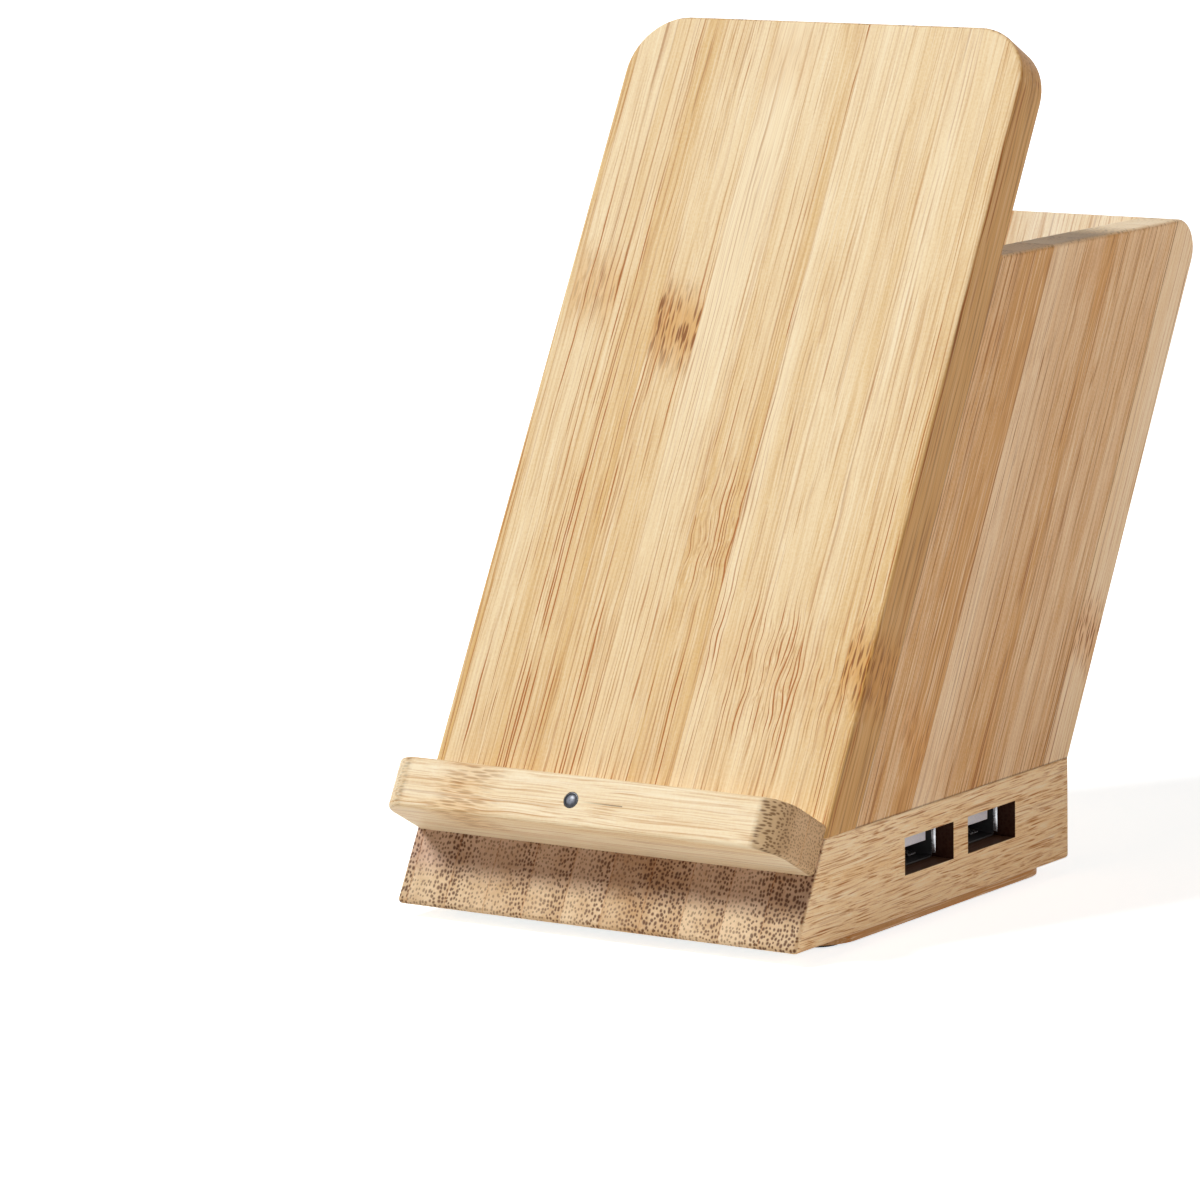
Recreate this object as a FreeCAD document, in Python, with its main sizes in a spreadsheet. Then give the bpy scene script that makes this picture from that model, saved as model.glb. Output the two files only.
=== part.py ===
import FreeCAD, Part
import math
import os
import re
import Sketcher
from FreeCAD import Placement, Rotation, Vector

# Bamboo phone stand with a leaning charging plate, a pen box behind it and a four-port hub in the base.
# Millimetres and degrees. +X is to the right of someone facing the charging plate, +Y is to the rear,
# +Z is up. The origin lies on the desk, under the middle of the base block.

doc = FreeCAD.newDocument("charging_organizer")
sheet = doc.addObject("Spreadsheet::Sheet", "sizes")

driving_sizes = [
    # outer woodwork
    ("stand_width", 75.0),
    ("base_depth", 84.4),
    ("base_height", 16.7),
    ("tilt", 28.5),
    ("edge_round", 0.7),
    ("seam_round", 0.3),
    ("plate_length", 155.0),
    ("plate_thickness", 7.8),
    ("plate_corner", 10.0),
    ("wall_thickness", 7.7),
    ("rim_height", 101.1),
    ("rear_top_round", 5.0),
    ("lip_drop", 6.2),
    ("lip_thickness", 8.4),
    ("lip_depth", 12.7),
    ("lip_inset", 0.3),
    ("lip_corner", 5.0),
    # panel that closes the coil pocket from behind
    ("front_skin", 2.6),
    ("panel_thickness", 2.4),
    ("panel_sunk", 0.7),
    ("panel_top_margin", 7.0),
    ("panel_side_margin", 0.8),
    ("panel_corner", 6.0),
    ("panel_gap", 0.3),
    # underside cover, its screws and the feet
    ("cover_thickness", 3.0),
    ("cover_rebate", 1.4),
    ("cover_side_inset", 1.5),
    ("cover_front_inset", 12.2),
    ("cover_rear_inset", 2.2),
    ("cover_corner", 8.0),
    ("cover_gap", 0.2),
    ("foot_radius", 4.0),
    ("foot_thickness", 1.2),
    ("foot_sink", 0.6),
    ("foot_inset", 6.0),
    ("cover_screw_inset", 19.5),
    # hollow of the base
    ("roof_thickness", 3.5),
    ("side_wood", 4.1),
    ("rear_wood", 11.1),
    ("ledge", 5.0),
    ("boss_width", 7.0),
    ("lead_slot_front", 2.1),
    ("lead_hole_length", 5.6),
    ("lead_drop_shift", 0.8),
    ("cut_over", 1.0),
    # sockets on the two sides
    ("port_cut_width", 14.9),
    ("port_cut_height", 6.0),
    ("port_pitch", 19.35),
    ("port_from_rear", 24.95),
    ("port_setback", 3.4),
    ("port_headroom", 0.82),
    ("shell_width", 13.1),
    ("shell_height", 5.7),
    ("shell_length", 14.0),
    ("shell_metal", 0.3),
    ("shell_back", 1.2),
    ("tongue_width", 10.2),
    ("tongue_thickness", 1.9),
    ("tongue_setback", 0.3),
    ("contact_width", 1.0),
    ("contact_pitch", 2.3),
    ("contact_thickness", 0.2),
    # power inlet at the rear
    ("inlet_cut_width", 12.4),
    ("inlet_cut_height", 7.0),
    ("inlet_cut_corner", 1.75),
    ("inlet_setback", 8.0),
    ("inlet_width", 8.9),
    ("inlet_height", 3.2),
    ("inlet_length", 7.4),
    ("inlet_metal", 0.3),
    ("inlet_back", 1.2),
    ("inlet_side_flat", 0.06),
    ("inlet_tongue_width", 6.6),
    ("inlet_tongue_thickness", 0.7),
    # circuit board and what is soldered to it
    ("board_thickness", 1.6),
    ("board_margin", 5.6),
    ("board_gap", 0.3),
    ("hub_chip_side", 7.0),
    ("charger_chip_side", 5.0),
    ("chip_height", 1.1),
    ("chip_pitch", 11.0),
    ("choke_side", 7.0),
    ("choke_height", 3.6),
    ("capacitor_radius", 2.2),
    ("capacitor_height", 5.0),
    ("header_width", 4.0),
    ("header_length", 3.4),
    ("header_height", 2.6),
    ("header_inset", 0.6),
    ("header_gap", 0.3),
    # screws and dowels
    ("screw_radius", 0.95),
    ("screw_head_radius", 1.9),
    ("screw_head_height", 1.2),
    ("screw_grip", 5.0),
    ("screw_inset", 4.0),
    ("dowel_radius", 2.0),
    ("dowel_grip", 7.0),
    ("dowel_end_gap", 0.5),
    ("lip_dowel_spacing", 44.0),
    ("lip_dowel_height", 2.6),
    ("wall_dowel_depth", 4.0),
    ("rear_dowel_spacing", 36.0),
    ("fit_gap", 0.05),
    # coil, shield and indicator
    ("coil_height", 72.0),
    ("coil_outer_radius", 22.0),
    ("coil_inner_radius", 10.0),
    ("coil_thickness", 1.0),
    ("shield_radius", 24.0),
    ("shield_thickness", 0.9),
    ("coil_gap", 0.4),
    ("coil_lead_radius", 0.4),
    ("lead_bend", 3.0),
    ("lens_offset", -1.3),
    ("lens_radius", 1.3),
    ("lens_length", 2.0),
    ("lamp_radius", 1.1),
    ("lamp_length", 3.0),
    ("led_lead_radius", 0.25),
    ("lead_spacing", 1.3),
    ("led_bore_gap", 0.1),
]

for row, (alias, number) in enumerate(driving_sizes, start=1):
    sheet.set("A%d" % row, alias)
    sheet.set("B%d" % row, str(number))
    sheet.setAlias("B%d" % row, alias)
doc.recompute()

alias_pattern = re.compile(r"\b(%s)\b" % "|".join(alias for alias, number in driving_sizes))
near = 1e-3
sub_parts = []


def full(formula):
    return alias_pattern.sub(r"sizes.\1", str(formula))


def value(formula):
    return float(sheet.evalExpression(full(formula)))


def tie(obj, path, formula):
    obj.setExpression(path, full(formula))


# Places that several pieces share, as formulas on the driving sizes
half_width = "(stand_width / 2)"
side_inner = "(stand_width / 2 - wall_thickness)"
cover_proud = "(cover_thickness - cover_rebate)"
foot_proud = "(foot_thickness - foot_sink)"
cover_bottom = foot_proud
base_bottom = f"({foot_proud} + {cover_proud})"
base_top = f"({base_bottom} + base_height)"
front_edge = "(-base_depth / 2)"
rear_face = "(base_depth / 2)"
front_at_top = f"({front_edge} + base_height * tan(tilt))"

# Depths behind the front plane, square to it, are negative
box_reach = "((base_depth - base_height * tan(tilt)) * cos(tilt))"
panel_back = "(-plate_thickness + panel_sunk)"
panel_front = "(-plate_thickness + panel_sunk + panel_thickness)"
lip_low = "(base_height / cos(tilt) - lip_drop)"
lip_high = f"({lip_low} + lip_thickness)"
lens_slope = f"({lip_low} + lip_thickness / 2)"
coil_slope = f"({lip_high} + coil_height)"

# Levels of the board and its sockets
cavity_roof = f"({base_top} - roof_thickness)"
shell_bottom = f"({cavity_roof} - port_headroom - shell_height)"
board_top = shell_bottom
board_bottom = f"({board_top} - board_thickness)"
port_level = f"({shell_bottom} + shell_height / 2)"

# Plan of the hollow, the board and its sockets
rear_port = f"({rear_face} - port_from_rear)"
front_port = f"({rear_port} - port_pitch)"
board_front = f"({front_port} - shell_width / 2 - board_margin)"
cavity_front = f"({board_front} - board_gap)"
cavity_rear = f"({rear_face} - rear_wood)"
board_rear = f"({cavity_rear} - board_gap)"
upper_front = f"({cavity_front} + ledge)"
upper_rear = f"({cavity_rear} - ledge)"
cavity_half = "(stand_width / 2 - side_wood)"
board_half = f"({cavity_half} - board_gap)"
board_middle = f"(({upper_front} + {upper_rear}) / 2)"
slot_front = f"({front_at_top} + lead_slot_front)"
slot_side = "(lens_offset - header_width / 2 - board_gap)"
slot_width = "(2 * header_width + header_gap + 2 * board_gap)"
header_front = f"({board_front} + header_inset)"
header_level = f"({board_top} + header_height / 2)"
coil_header_x = "(lens_offset + header_width + header_gap)"
cover_front = f"({front_edge} + cover_front_inset)"
cover_rear = f"({rear_face} - cover_rear_inset)"


def slope_y(up, out):
    return f"({front_edge} + ({up}) * sin(tilt) - ({out}) * cos(tilt))"


def slope_z(up, out):
    return f"({base_bottom} + ({up}) * cos(tilt) + ({out}) * sin(tilt))"


# How far up the slope a level above the base's underside is met, at a depth from the front plane
def slope_at(level, out):
    return f"((({level}) - ({out}) * sin(tilt)) / cos(tilt))"


def place(obj, x, y, z):
    tie(obj, "Placement.Base.x", x)
    tie(obj, "Placement.Base.y", y)
    tie(obj, "Placement.Base.z", z)


# On the slope a piece's own X stays X, its Y runs up the slope and its Z leaves the front face
def place_on_slope(obj, x, up, out, angle="90 - tilt"):
    obj.Placement = Placement(Vector(), Rotation(Vector(1, 0, 0), 1))
    place(obj, x, slope_y(up, out), slope_z(up, out))
    tie(obj, "Placement.Rotation.Angle", angle)


def named(kind, label):
    obj = doc.addObject(kind, label)
    obj.Label = label
    return obj


def finished(obj, label):
    obj.Label = label
    sub_parts.append(obj)
    return obj


def box(label, corner, size):
    obj = named("Part::Box", label)
    for path, formula in zip(("Length", "Width", "Height"), size):
        tie(obj, path, formula)
    place(obj, *corner)
    return obj


def slope_box(label, corner, size):
    obj = named("Part::Box", label)
    for path, formula in zip(("Length", "Width", "Height"), size):
        tie(obj, path, formula)
    place_on_slope(obj, *corner)
    return obj


def cylinder(label, radius, height, foot):
    obj = named("Part::Cylinder", label)
    tie(obj, "Radius", radius)
    tie(obj, "Height", height)
    place(obj, *foot)
    return obj


def slope_cylinder(label, radius, height, foot, angle="90 - tilt"):
    obj = named("Part::Cylinder", label)
    tie(obj, "Radius", radius)
    tie(obj, "Height", height)
    place_on_slope(obj, *foot, angle)
    return obj


def joined(label, pieces):
    obj = named("Part::MultiFuse", label)
    obj.Shapes = pieces
    return obj


def carved(label, blank, tools):
    tool = tools[0] if len(tools) == 1 else joined(label + "_cuts", tools)
    obj = named("Part::Cut", label)
    obj.Base = blank
    obj.Tool = tool
    return obj


# Several like solids that share one name
def group(label, pieces):
    obj = named("Part::Compound", label)
    obj.Links = pieces
    return obj


def pin_point(sketch, line, formula, kind, axis):
    if formula == "0":
        sketch.addConstraint(Sketcher.Constraint("PointOnObject", line, 1, axis))
        return
    index = sketch.addConstraint(Sketcher.Constraint(kind, -1, 1, line, 1, value(formula)))
    tie(sketch, "Constraints[%d]" % index, formula)


# A body padded along X from an outline in its YZ plane, to both sides of the middle or from a start at x
def slab(label, corners, width, start=None):
    body = named("PartDesign::Body", label)
    sketch = body.newObject("Sketcher::SketchObject", label + "_outline")
    plane = [item for item in body.Origin.OriginFeatures if item.Role == "YZ_Plane"][0]
    sketch.AttachmentSupport = (plane, [""])
    sketch.MapMode = "FlatFace"
    points = [Vector(value(across), value(up), 0) for across, up in corners]
    count = len(points)
    for line in range(count):
        sketch.addGeometry(Part.LineSegment(points[line], points[(line + 1) % count]))
    for line in range(count):
        sketch.addConstraint(Sketcher.Constraint("Coincident", line, 2, (line + 1) % count, 1))
    for line, (across, up) in enumerate(corners):
        pin_point(sketch, line, across, "DistanceX", -2)
        pin_point(sketch, line, up, "DistanceY", -1)
    pad = body.newObject("PartDesign::Pad", label + "_pad")
    pad.Profile = sketch
    tie(pad, "Length", width)
    if start is None:
        pad.SideType = "Symmetric"
    else:
        tie(sketch, "AttachmentOffset.Base.z", start)
    doc.recompute()
    return body


# Rounds those edges of the body so far that the test picks by their boxes
def round_edges(body, test, radius):
    before = body.Tip
    names = []
    for number, edge in enumerate(before.Shape.Edges, start=1):
        if test(edge.BoundBox):
            names.append("Edge%d" % number)
    fillet = body.newObject("PartDesign::Fillet", body.Label + "_round")
    fillet.Base = (before, names)
    tie(fillet, "Radius", radius)
    doc.recompute()


def at(low, high, place_value):
    return abs(low - place_value) < near and abs(high - place_value) < near


def runs_along_z(span):
    return span.XLength < near and span.YLength < near


# Base block: leaning front face, upright rear, hollowed from below
def base_blank():
    body = slab("base_blank", [
        (front_edge, base_bottom),
        (rear_face, base_bottom),
        (rear_face, base_top),
        (front_at_top, base_top),
    ], "stand_width")
    high = value(base_top)
    round_edges(body, lambda span: not at(span.ZMin, span.ZMax, high), "edge_round")
    round_edges(body, lambda span: at(span.ZMin, span.ZMax, high), "seam_round")
    return body


def plate_blank():
    body = slab("plate_blank", [
        (slope_at("base_height", "0"), "0"),
        ("plate_length", "0"),
        ("plate_length", "-plate_thickness"),
        (slope_at("base_height", "-plate_thickness"), "-plate_thickness"),
    ], "stand_width")
    top = value("plate_length")
    rear = -value("plate_thickness")
    round_edges(body, lambda span: runs_along_z(span) and at(span.YMin, span.YMax, top), "plate_corner")
    foot = value(slope_at("base_height", "-plate_thickness"))

    def outline(span):
        on_face = at(span.ZMin, span.ZMax, 0) or at(span.ZMin, span.ZMax, rear)
        return on_face and span.YMax > foot + near

    round_edges(body, outline, "edge_round")
    place_on_slope(body, "0", "0", "0")
    return body


# Square corner that the plate keeps along each side wall, below the rim
def seam_strip(label, start):
    strip = slab(label, [
        (slope_at("base_height", "-plate_thickness"), "-plate_thickness"),
        (slope_at("base_height", "edge_round - plate_thickness"), "edge_round - plate_thickness"),
        (slope_at("rim_height", "edge_round - plate_thickness"), "edge_round - plate_thickness"),
        (slope_at("rim_height", "-plate_thickness"), "-plate_thickness"),
    ], "edge_round", start)
    place_on_slope(strip, "0", "0", "0")
    return strip


def side_wall(label, start):
    inner = f"(wall_thickness - {box_reach})"
    body = slab(label, [
        (slope_at("base_height", "-plate_thickness"), "-plate_thickness"),
        (slope_at("rim_height", "-plate_thickness"), "-plate_thickness"),
        (slope_at("rim_height", inner), inner),
        (slope_at("base_height", inner), inner),
    ], "wall_thickness", start)
    rim = value(slope_at("rim_height", "-plate_thickness"))
    round_edges(body, lambda span: span.XLength < near and span.YMin > rim - near, "edge_round")
    place_on_slope(body, "0", "0", "0")
    return body


def rear_wall():
    outer = f"(-{box_reach})"
    inner = f"(wall_thickness - {box_reach})"
    body = slab("rear_wall_blank", [
        (slope_at("base_height", outer), outer),
        (slope_at("base_height", inner), inner),
        (slope_at("rim_height", inner), inner),
        (slope_at("rim_height", outer), outer),
    ], "stand_width")
    back = value(outer)
    top = value(slope_at("rim_height", outer))
    half = value(half_width)

    def top_rear(span):
        return at(span.YMin, span.YMax, top) and at(span.ZMin, span.ZMax, back)

    def outer_sides(span):
        on_side = at(span.XMin, span.XMax, half) or at(span.XMin, span.XMax, -half)
        return on_side and at(span.ZMin, span.ZMax, back)

    round_edges(body, top_rear, "rear_top_round")
    round_edges(body, outer_sides, "edge_round")
    place_on_slope(body, "0", "0", "0")
    return body


def lip_blank():
    body = slab("lip_blank", [
        (lip_low, "0"),
        (lip_high, "0"),
        (lip_high, "lip_depth"),
        (lip_low, "lip_depth"),
    ], "stand_width - 2 * lip_inset")
    front = value("lip_depth")

    def front_corner(span):
        return span.XLength < near and span.ZLength < near and at(span.ZMin, span.ZMax, front)

    round_edges(body, front_corner, "lip_corner")
    round_edges(body, lambda span: span.YLength < near and span.ZMax > near, "edge_round")
    place_on_slope(body, "0", "0", "0")
    return body


def coil_panel():
    low = slope_at("base_height", panel_back)
    body = slab("coil_panel", [
        (f"{low} + panel_gap", panel_front),
        ("plate_length - panel_top_margin", panel_front),
        ("plate_length - panel_top_margin", panel_back),
        (f"{low} + panel_gap", panel_back),
    ], f"2 * ({side_inner} - panel_side_margin)")
    top = value("plate_length - panel_top_margin")
    round_edges(body, lambda span: runs_along_z(span) and at(span.YMin, span.YMax, top), "panel_corner")
    place_on_slope(body, "0", "0", "0")
    return body


# Rebate for the panel, open at the rear and at the foot of the plate
def panel_rebate():
    low = slope_at("base_height", "0")
    body = slab("panel_rebate", [
        (f"{low} - cut_over", panel_front),
        ("plate_length - panel_top_margin + panel_gap", panel_front),
        ("plate_length - panel_top_margin + panel_gap", "-plate_thickness - cut_over"),
        (f"{low} - cut_over", "-plate_thickness - cut_over"),
    ], f"2 * ({side_inner} - panel_side_margin + panel_gap)")
    top = value("plate_length - panel_top_margin + panel_gap")
    corner = "panel_corner + panel_gap"
    round_edges(body, lambda span: runs_along_z(span) and at(span.YMin, span.YMax, top), corner)
    place_on_slope(body, "0", "0", "0")
    return body


def cover_plan(label, margin, bottom, top):
    body = slab(label, [
        (f"{cover_front} - {margin}", bottom),
        (f"{cover_rear} + {margin}", bottom),
        (f"{cover_rear} + {margin}", top),
        (f"{cover_front} - {margin}", top),
    ], f"stand_width - 2 * cover_side_inset + 2 * ({margin})")
    round_edges(body, runs_along_z, f"cover_corner + {margin}")
    return body


# Dowels along the slope or square to it, with a hole a little longer and wider than each
def slope_dowel(label, x, up, out, angle):
    peg = slope_cylinder(label, "dowel_radius", "2 * dowel_grip", (x, up, out), angle)
    gap_up = f"({up}) - dowel_end_gap" if angle == "-tilt" else up
    gap_out = out if angle == "-tilt" else f"({out}) - dowel_end_gap"
    hole = slope_cylinder(label + "_hole", "dowel_radius + fit_gap", "2 * (dowel_grip + dowel_end_gap)",
                          (x, gap_up, gap_out), angle)
    return peg, hole


# Screws driven upwards with sunk heads, flush with the underside that they hold
def screw_cone(label, x, y, seat, gap):
    cone = named("Part::Cone", label)
    tie(cone, "Radius1", f"screw_head_radius + {gap}")
    tie(cone, "Radius2", f"screw_radius + {gap}")
    tie(cone, "Height", "screw_head_height")
    place(cone, x, y, seat)
    return cone


def screw(label, x, y, seat, through):
    shank = cylinder(label + "_shank", "screw_radius", f"{through} + screw_grip", (x, y, seat))
    return joined(label, [shank, screw_cone(label + "_head", x, y, seat, "0")])


def screw_hole(label, x, y, seat, through):
    length = f"{through} + screw_grip + dowel_end_gap"
    return cylinder(label, "screw_radius + fit_gap", length, (x, y, seat))


def screw_sink(label, x, y, seat):
    return screw_cone(label, x, y, seat, "fit_gap")


side_names = (("left", -1), ("right", 1))

# Dowels that hold the lip, the plate, the side walls and the rear wall
lip_pegs = []
plate_pegs = []
wall_pegs = []
rear_pegs = []
for side, sign in side_names:
    lip_pegs.append(slope_dowel("lip_dowel_" + side, f"{sign} * lip_dowel_spacing / 2",
                                f"{lip_low} + lip_dowel_height", "-dowel_grip", "90 - tilt"))
    wall_middle = f"{sign} * ({side_inner} + wall_thickness / 2)"
    upright_dowels = (
        ("plate_dowel_", plate_pegs, wall_middle, "(-plate_thickness / 2)"),
        ("wall_dowel_", wall_pegs, wall_middle, "(-plate_thickness - wall_dowel_depth)"),
        ("rear_dowel_", rear_pegs, f"{sign} * rear_dowel_spacing / 2", f"(wall_thickness / 2 - {box_reach})"),
    )
    for name, pegs, x, depth in upright_dowels:
        foot = f"{slope_at('base_height', depth)} - dowel_grip"
        pegs.append(slope_dowel(name + side, x, foot, depth, "-tilt"))

for label, pegs in (("lip_dowels", lip_pegs), ("plate_dowels", plate_pegs),
                    ("wall_dowels", wall_pegs), ("rear_wall_dowels", rear_pegs)):
    finished(group(label, [peg for peg, hole in pegs]), label)


def holes_of(pegs):
    return [hole for peg, hole in pegs]


# Screws through the board into the ledges, and through the cover into the block
board_spots = []
cover_spots = []
for side, sign in side_names:
    for end, y in (("front", f"({cavity_front} + ledge / 2)"), ("rear", f"({cavity_rear} - ledge / 2)")):
        board_spots.append((f"{side}_{end}", f"{sign} * ({board_half} - screw_inset)", y))
    cover_middle = f"(({cover_front} + {cavity_front}) / 2)"
    for end, y in (("front", cover_middle), ("rear", f"({cavity_rear} - ledge / 2)")):
        cover_spots.append((f"{side}_{end}", f"({sign} * ({half_width} - cover_screw_inset))", y))

board_screws = []
board_holes = []
board_sinks = []
for spot, x, y in board_spots:
    board_screws.append(screw("board_screw_" + spot, x, y, board_bottom, "board_thickness"))
    board_holes.append(screw_hole("board_hole_" + spot, x, y, board_bottom, "board_thickness"))
    board_sinks.append(screw_sink("board_sink_" + spot, x, y, board_bottom))
finished(group("board_screws", board_screws), "board_screws")

# Indicator in the lip: lens at the front, lamp behind it, two leads to the board
lens_end = "(lip_depth - lens_length)"
lamp_end = "(lip_depth - lens_length - lamp_length)"
lens = slope_cylinder("indicator_lens", "lens_radius", "lens_length", ("lens_offset", lens_slope, lens_end))
finished(lens, "indicator_lens")
lamp = slope_cylinder("indicator_lamp", "lamp_radius", "lamp_length", ("lens_offset", lens_slope, lamp_end))
finished(lamp, "indicator_lamp")
lens_bore = slope_cylinder("lens_bore", "lens_radius + fit_gap", "lip_depth - " + lamp_end,
                           ("lens_offset", lens_slope, lamp_end))

lamp_back = Vector(0, value(slope_y(lens_slope, lamp_end)), value(slope_z(lens_slope, lamp_end)))
led_header_face = Vector(0, value(header_front), value(header_level))
lead_line = led_header_face - lamp_back
lead_turn = Rotation(Vector(0, 0, 1), lead_line)


def along_lead(label, radius, length, x, start):
    obj = named("Part::Cylinder", label)
    tie(obj, "Radius", radius)
    obj.Height = length
    spot = lamp_back + Vector(lead_line).normalize() * start
    obj.Placement = Placement(Vector(value(x), spot.y, spot.z), lead_turn)
    return obj


lead_clear = value("board_gap")
led_leads = []
for side, sign in side_names:
    across = f"lens_offset + {sign} * lead_spacing / 2"
    led_leads.append(along_lead("led_lead_" + side, "led_lead_radius", lead_line.Length - 2 * lead_clear,
                                across, lead_clear))
finished(group("indicator_leads", led_leads), "indicator_leads")
led_bore_radius = "lead_spacing / 2 + led_lead_radius + led_bore_gap"
led_bore = along_lead("led_bore", led_bore_radius, lead_line.Length, "lens_offset", 0)

# Front lip
lip = carved("front_lip", lip_blank(), [lens_bore, led_bore] + holes_of(lip_pegs))
finished(lip, "front_lip")

# Charging coil in its pocket, with the shield behind it
coil_front = "(-front_skin - coil_thickness)"
coil_ring = slope_cylinder("coil_ring", "coil_outer_radius", "coil_thickness", ("0", coil_slope, coil_front))
coil_eye = slope_cylinder("coil_eye", "coil_inner_radius", "coil_thickness", ("0", coil_slope, coil_front))
finished(carved("charge_coil", coil_ring, [coil_eye]), "charge_coil")
shield_front = f"({coil_front} - shield_thickness)"
shield = slope_cylinder("ferrite_shield", "shield_radius", "shield_thickness",
                        ("0", coil_slope, shield_front))
finished(shield, "ferrite_shield")
coil_pocket = slope_cylinder("coil_pocket", "shield_radius + coil_gap", "plate_thickness - front_skin",
                             ("0", coil_slope, "-plate_thickness"))
plate_channel = slope_box("plate_channel", (slot_side, "0", "-plate_thickness"),
                          (slot_width, coil_slope, "plate_thickness - front_skin"))

# Backrest plate and the panel behind the coil
strips = [
    seam_strip("seam_strip_left", f"-{half_width}"),
    seam_strip("seam_strip_right", f"{half_width} - edge_round"),
]
plate_body = joined("plate_body", [plate_blank()] + strips)
plate_cuts = [panel_rebate(), coil_pocket, plate_channel] + holes_of(plate_pegs)
plate = carved("backrest_plate", plate_body, plate_cuts)
finished(plate, "backrest_plate")
finished(coil_panel(), "coil_panel")

# Pen box walls
for side, sign in side_names:
    start = f"-{half_width}" if sign < 0 else side_inner
    wall = side_wall(side + "_wall_blank", start)
    hole = wall_pegs[0 if sign < 0 else 1][1]
    finished(carved(side + "_wall", wall, [hole]), side + "_wall")
finished(carved("rear_wall", rear_wall(), holes_of(rear_pegs)), "rear_wall")

# Underside cover with four feet
cover_body = cover_plan("cover_body", "0", cover_bottom, f"{cover_bottom} + cover_thickness")
feet = []
foot_seats = []
for side, sign in side_names:
    for end, y in (("front", f"{cover_front} + foot_inset"), ("rear", f"{cover_rear} - foot_inset")):
        x = f"{sign} * ({half_width} - cover_side_inset - foot_inset)"
        feet.append(cylinder(f"foot_{side}_{end}", "foot_radius", "foot_thickness", (x, y, "0")))
        foot_seats.append(cylinder(f"foot_seat_{side}_{end}", "foot_radius + fit_gap", "foot_sink",
                                   (x, y, cover_bottom)))
finished(group("rubber_feet", feet), "rubber_feet")

cover_screws = []
cover_holes = []
cover_sinks = []
for spot, x, y in cover_spots:
    cover_screws.append(screw("cover_screw_" + spot, x, y, cover_bottom, "cover_thickness"))
    cover_holes.append(screw_hole("cover_hole_" + spot, x, y, cover_bottom, "cover_thickness"))
    cover_sinks.append(screw_sink("cover_sink_" + spot, x, y, cover_bottom))
finished(group("cover_screws", cover_screws), "cover_screws")
finished(carved("bottom_cover", cover_body, foot_seats + cover_holes + cover_sinks), "bottom_cover")

# Hollow of the base block and its cuts
lower_space = box("lower_space", (f"-{cavity_half}", cavity_front, base_bottom),
                  (f"2 * {cavity_half}", f"{cavity_rear} - {cavity_front}", f"{board_top} - {base_bottom}"))
bosses = []
board_notches = []
for spot, x, y in cover_spots:
    if spot.endswith("rear"):
        bosses.append(box("boss_" + spot, (f"{x} - boss_width / 2", upper_rear, base_bottom),
                          ("boss_width", "ledge", "base_height")))
        board_notches.append(box("board_notch_" + spot, (f"{x} - boss_width / 2 - board_gap",
                                                         f"{upper_rear} - board_gap", base_bottom),
                                 ("boss_width + 2 * board_gap", "ledge + board_gap", "base_height")))
lower_hollow = carved("lower_hollow", lower_space, bosses)
upper_hollow = box("upper_hollow", (f"-{cavity_half}", upper_front, base_bottom),
                   (f"2 * {cavity_half}", f"{upper_rear} - {upper_front}", f"{cavity_roof} - {base_bottom}"))
lead_slot = box("lead_slot", (slot_side, slot_front, base_bottom),
                (slot_width, f"{upper_front} - {slot_front}", f"{cavity_roof} - {base_bottom}"))
lead_hole = box("lead_hole", (slot_side, slot_front, base_bottom),
                (slot_width, "lead_hole_length", "base_height"))
inlet_mouth = f"({rear_face} - inlet_setback)"
inlet_notch = box("inlet_notch", ("-inlet_width / 2 - board_gap", upper_rear, board_top),
                  ("inlet_width + 2 * board_gap", f"{inlet_mouth} - {upper_rear}", "inlet_height + board_gap"))
inlet_level = f"({board_top} + inlet_height / 2)"
inlet_cut = slab("inlet_cut", [
    (inlet_mouth, f"{inlet_level} - inlet_cut_height / 2"),
    (f"{rear_face} + cut_over", f"{inlet_level} - inlet_cut_height / 2"),
    (f"{rear_face} + cut_over", f"{inlet_level} + inlet_cut_height / 2"),
    (inlet_mouth, f"{inlet_level} + inlet_cut_height / 2"),
], "inlet_cut_width")
round_edges(inlet_cut, lambda span: span.XLength < near and span.ZLength < near, "inlet_cut_corner")

port_cuts = []
for side, sign in side_names:
    for end, y in (("front", front_port), ("rear", rear_port)):
        start = cavity_half if sign > 0 else f"-{half_width} - cut_over"
        port_cuts.append(box(f"port_cut_{side}_{end}", (start, f"{y} - port_cut_width / 2",
                                                        f"{port_level} - port_cut_height / 2"),
                             ("side_wood + cut_over", "port_cut_width", "port_cut_height")))

seat_top = f"{base_bottom} + cover_rebate"
cover_seat = cover_plan("cover_seat", "cover_gap", f"{base_bottom} - cut_over", seat_top)
block_cuts = [cover_seat, lower_hollow, upper_hollow, lead_slot, lead_hole, inlet_notch, inlet_cut, led_bore]
block_cuts += port_cuts + board_holes + cover_holes
for pegs in (lip_pegs, plate_pegs, wall_pegs, rear_pegs):
    block_cuts += holes_of(pegs)
finished(carved("base_block", base_blank(), block_cuts), "base_block")

# Circuit board with its parts
board_blank = box("board_blank", (f"-{board_half}", board_front, board_bottom),
                  (f"2 * {board_half}", f"{board_rear} - {board_front}", "board_thickness"))
board_cuts = board_holes + board_sinks + board_notches
finished(carved("circuit_board", board_blank, board_cuts), "circuit_board")


def on_board(label, x, y, side_length, height):
    chip = box(label, (f"{x} - ({side_length}) / 2", f"{y} - ({side_length}) / 2", board_top),
               (side_length, side_length, height))
    return finished(chip, label)


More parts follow.
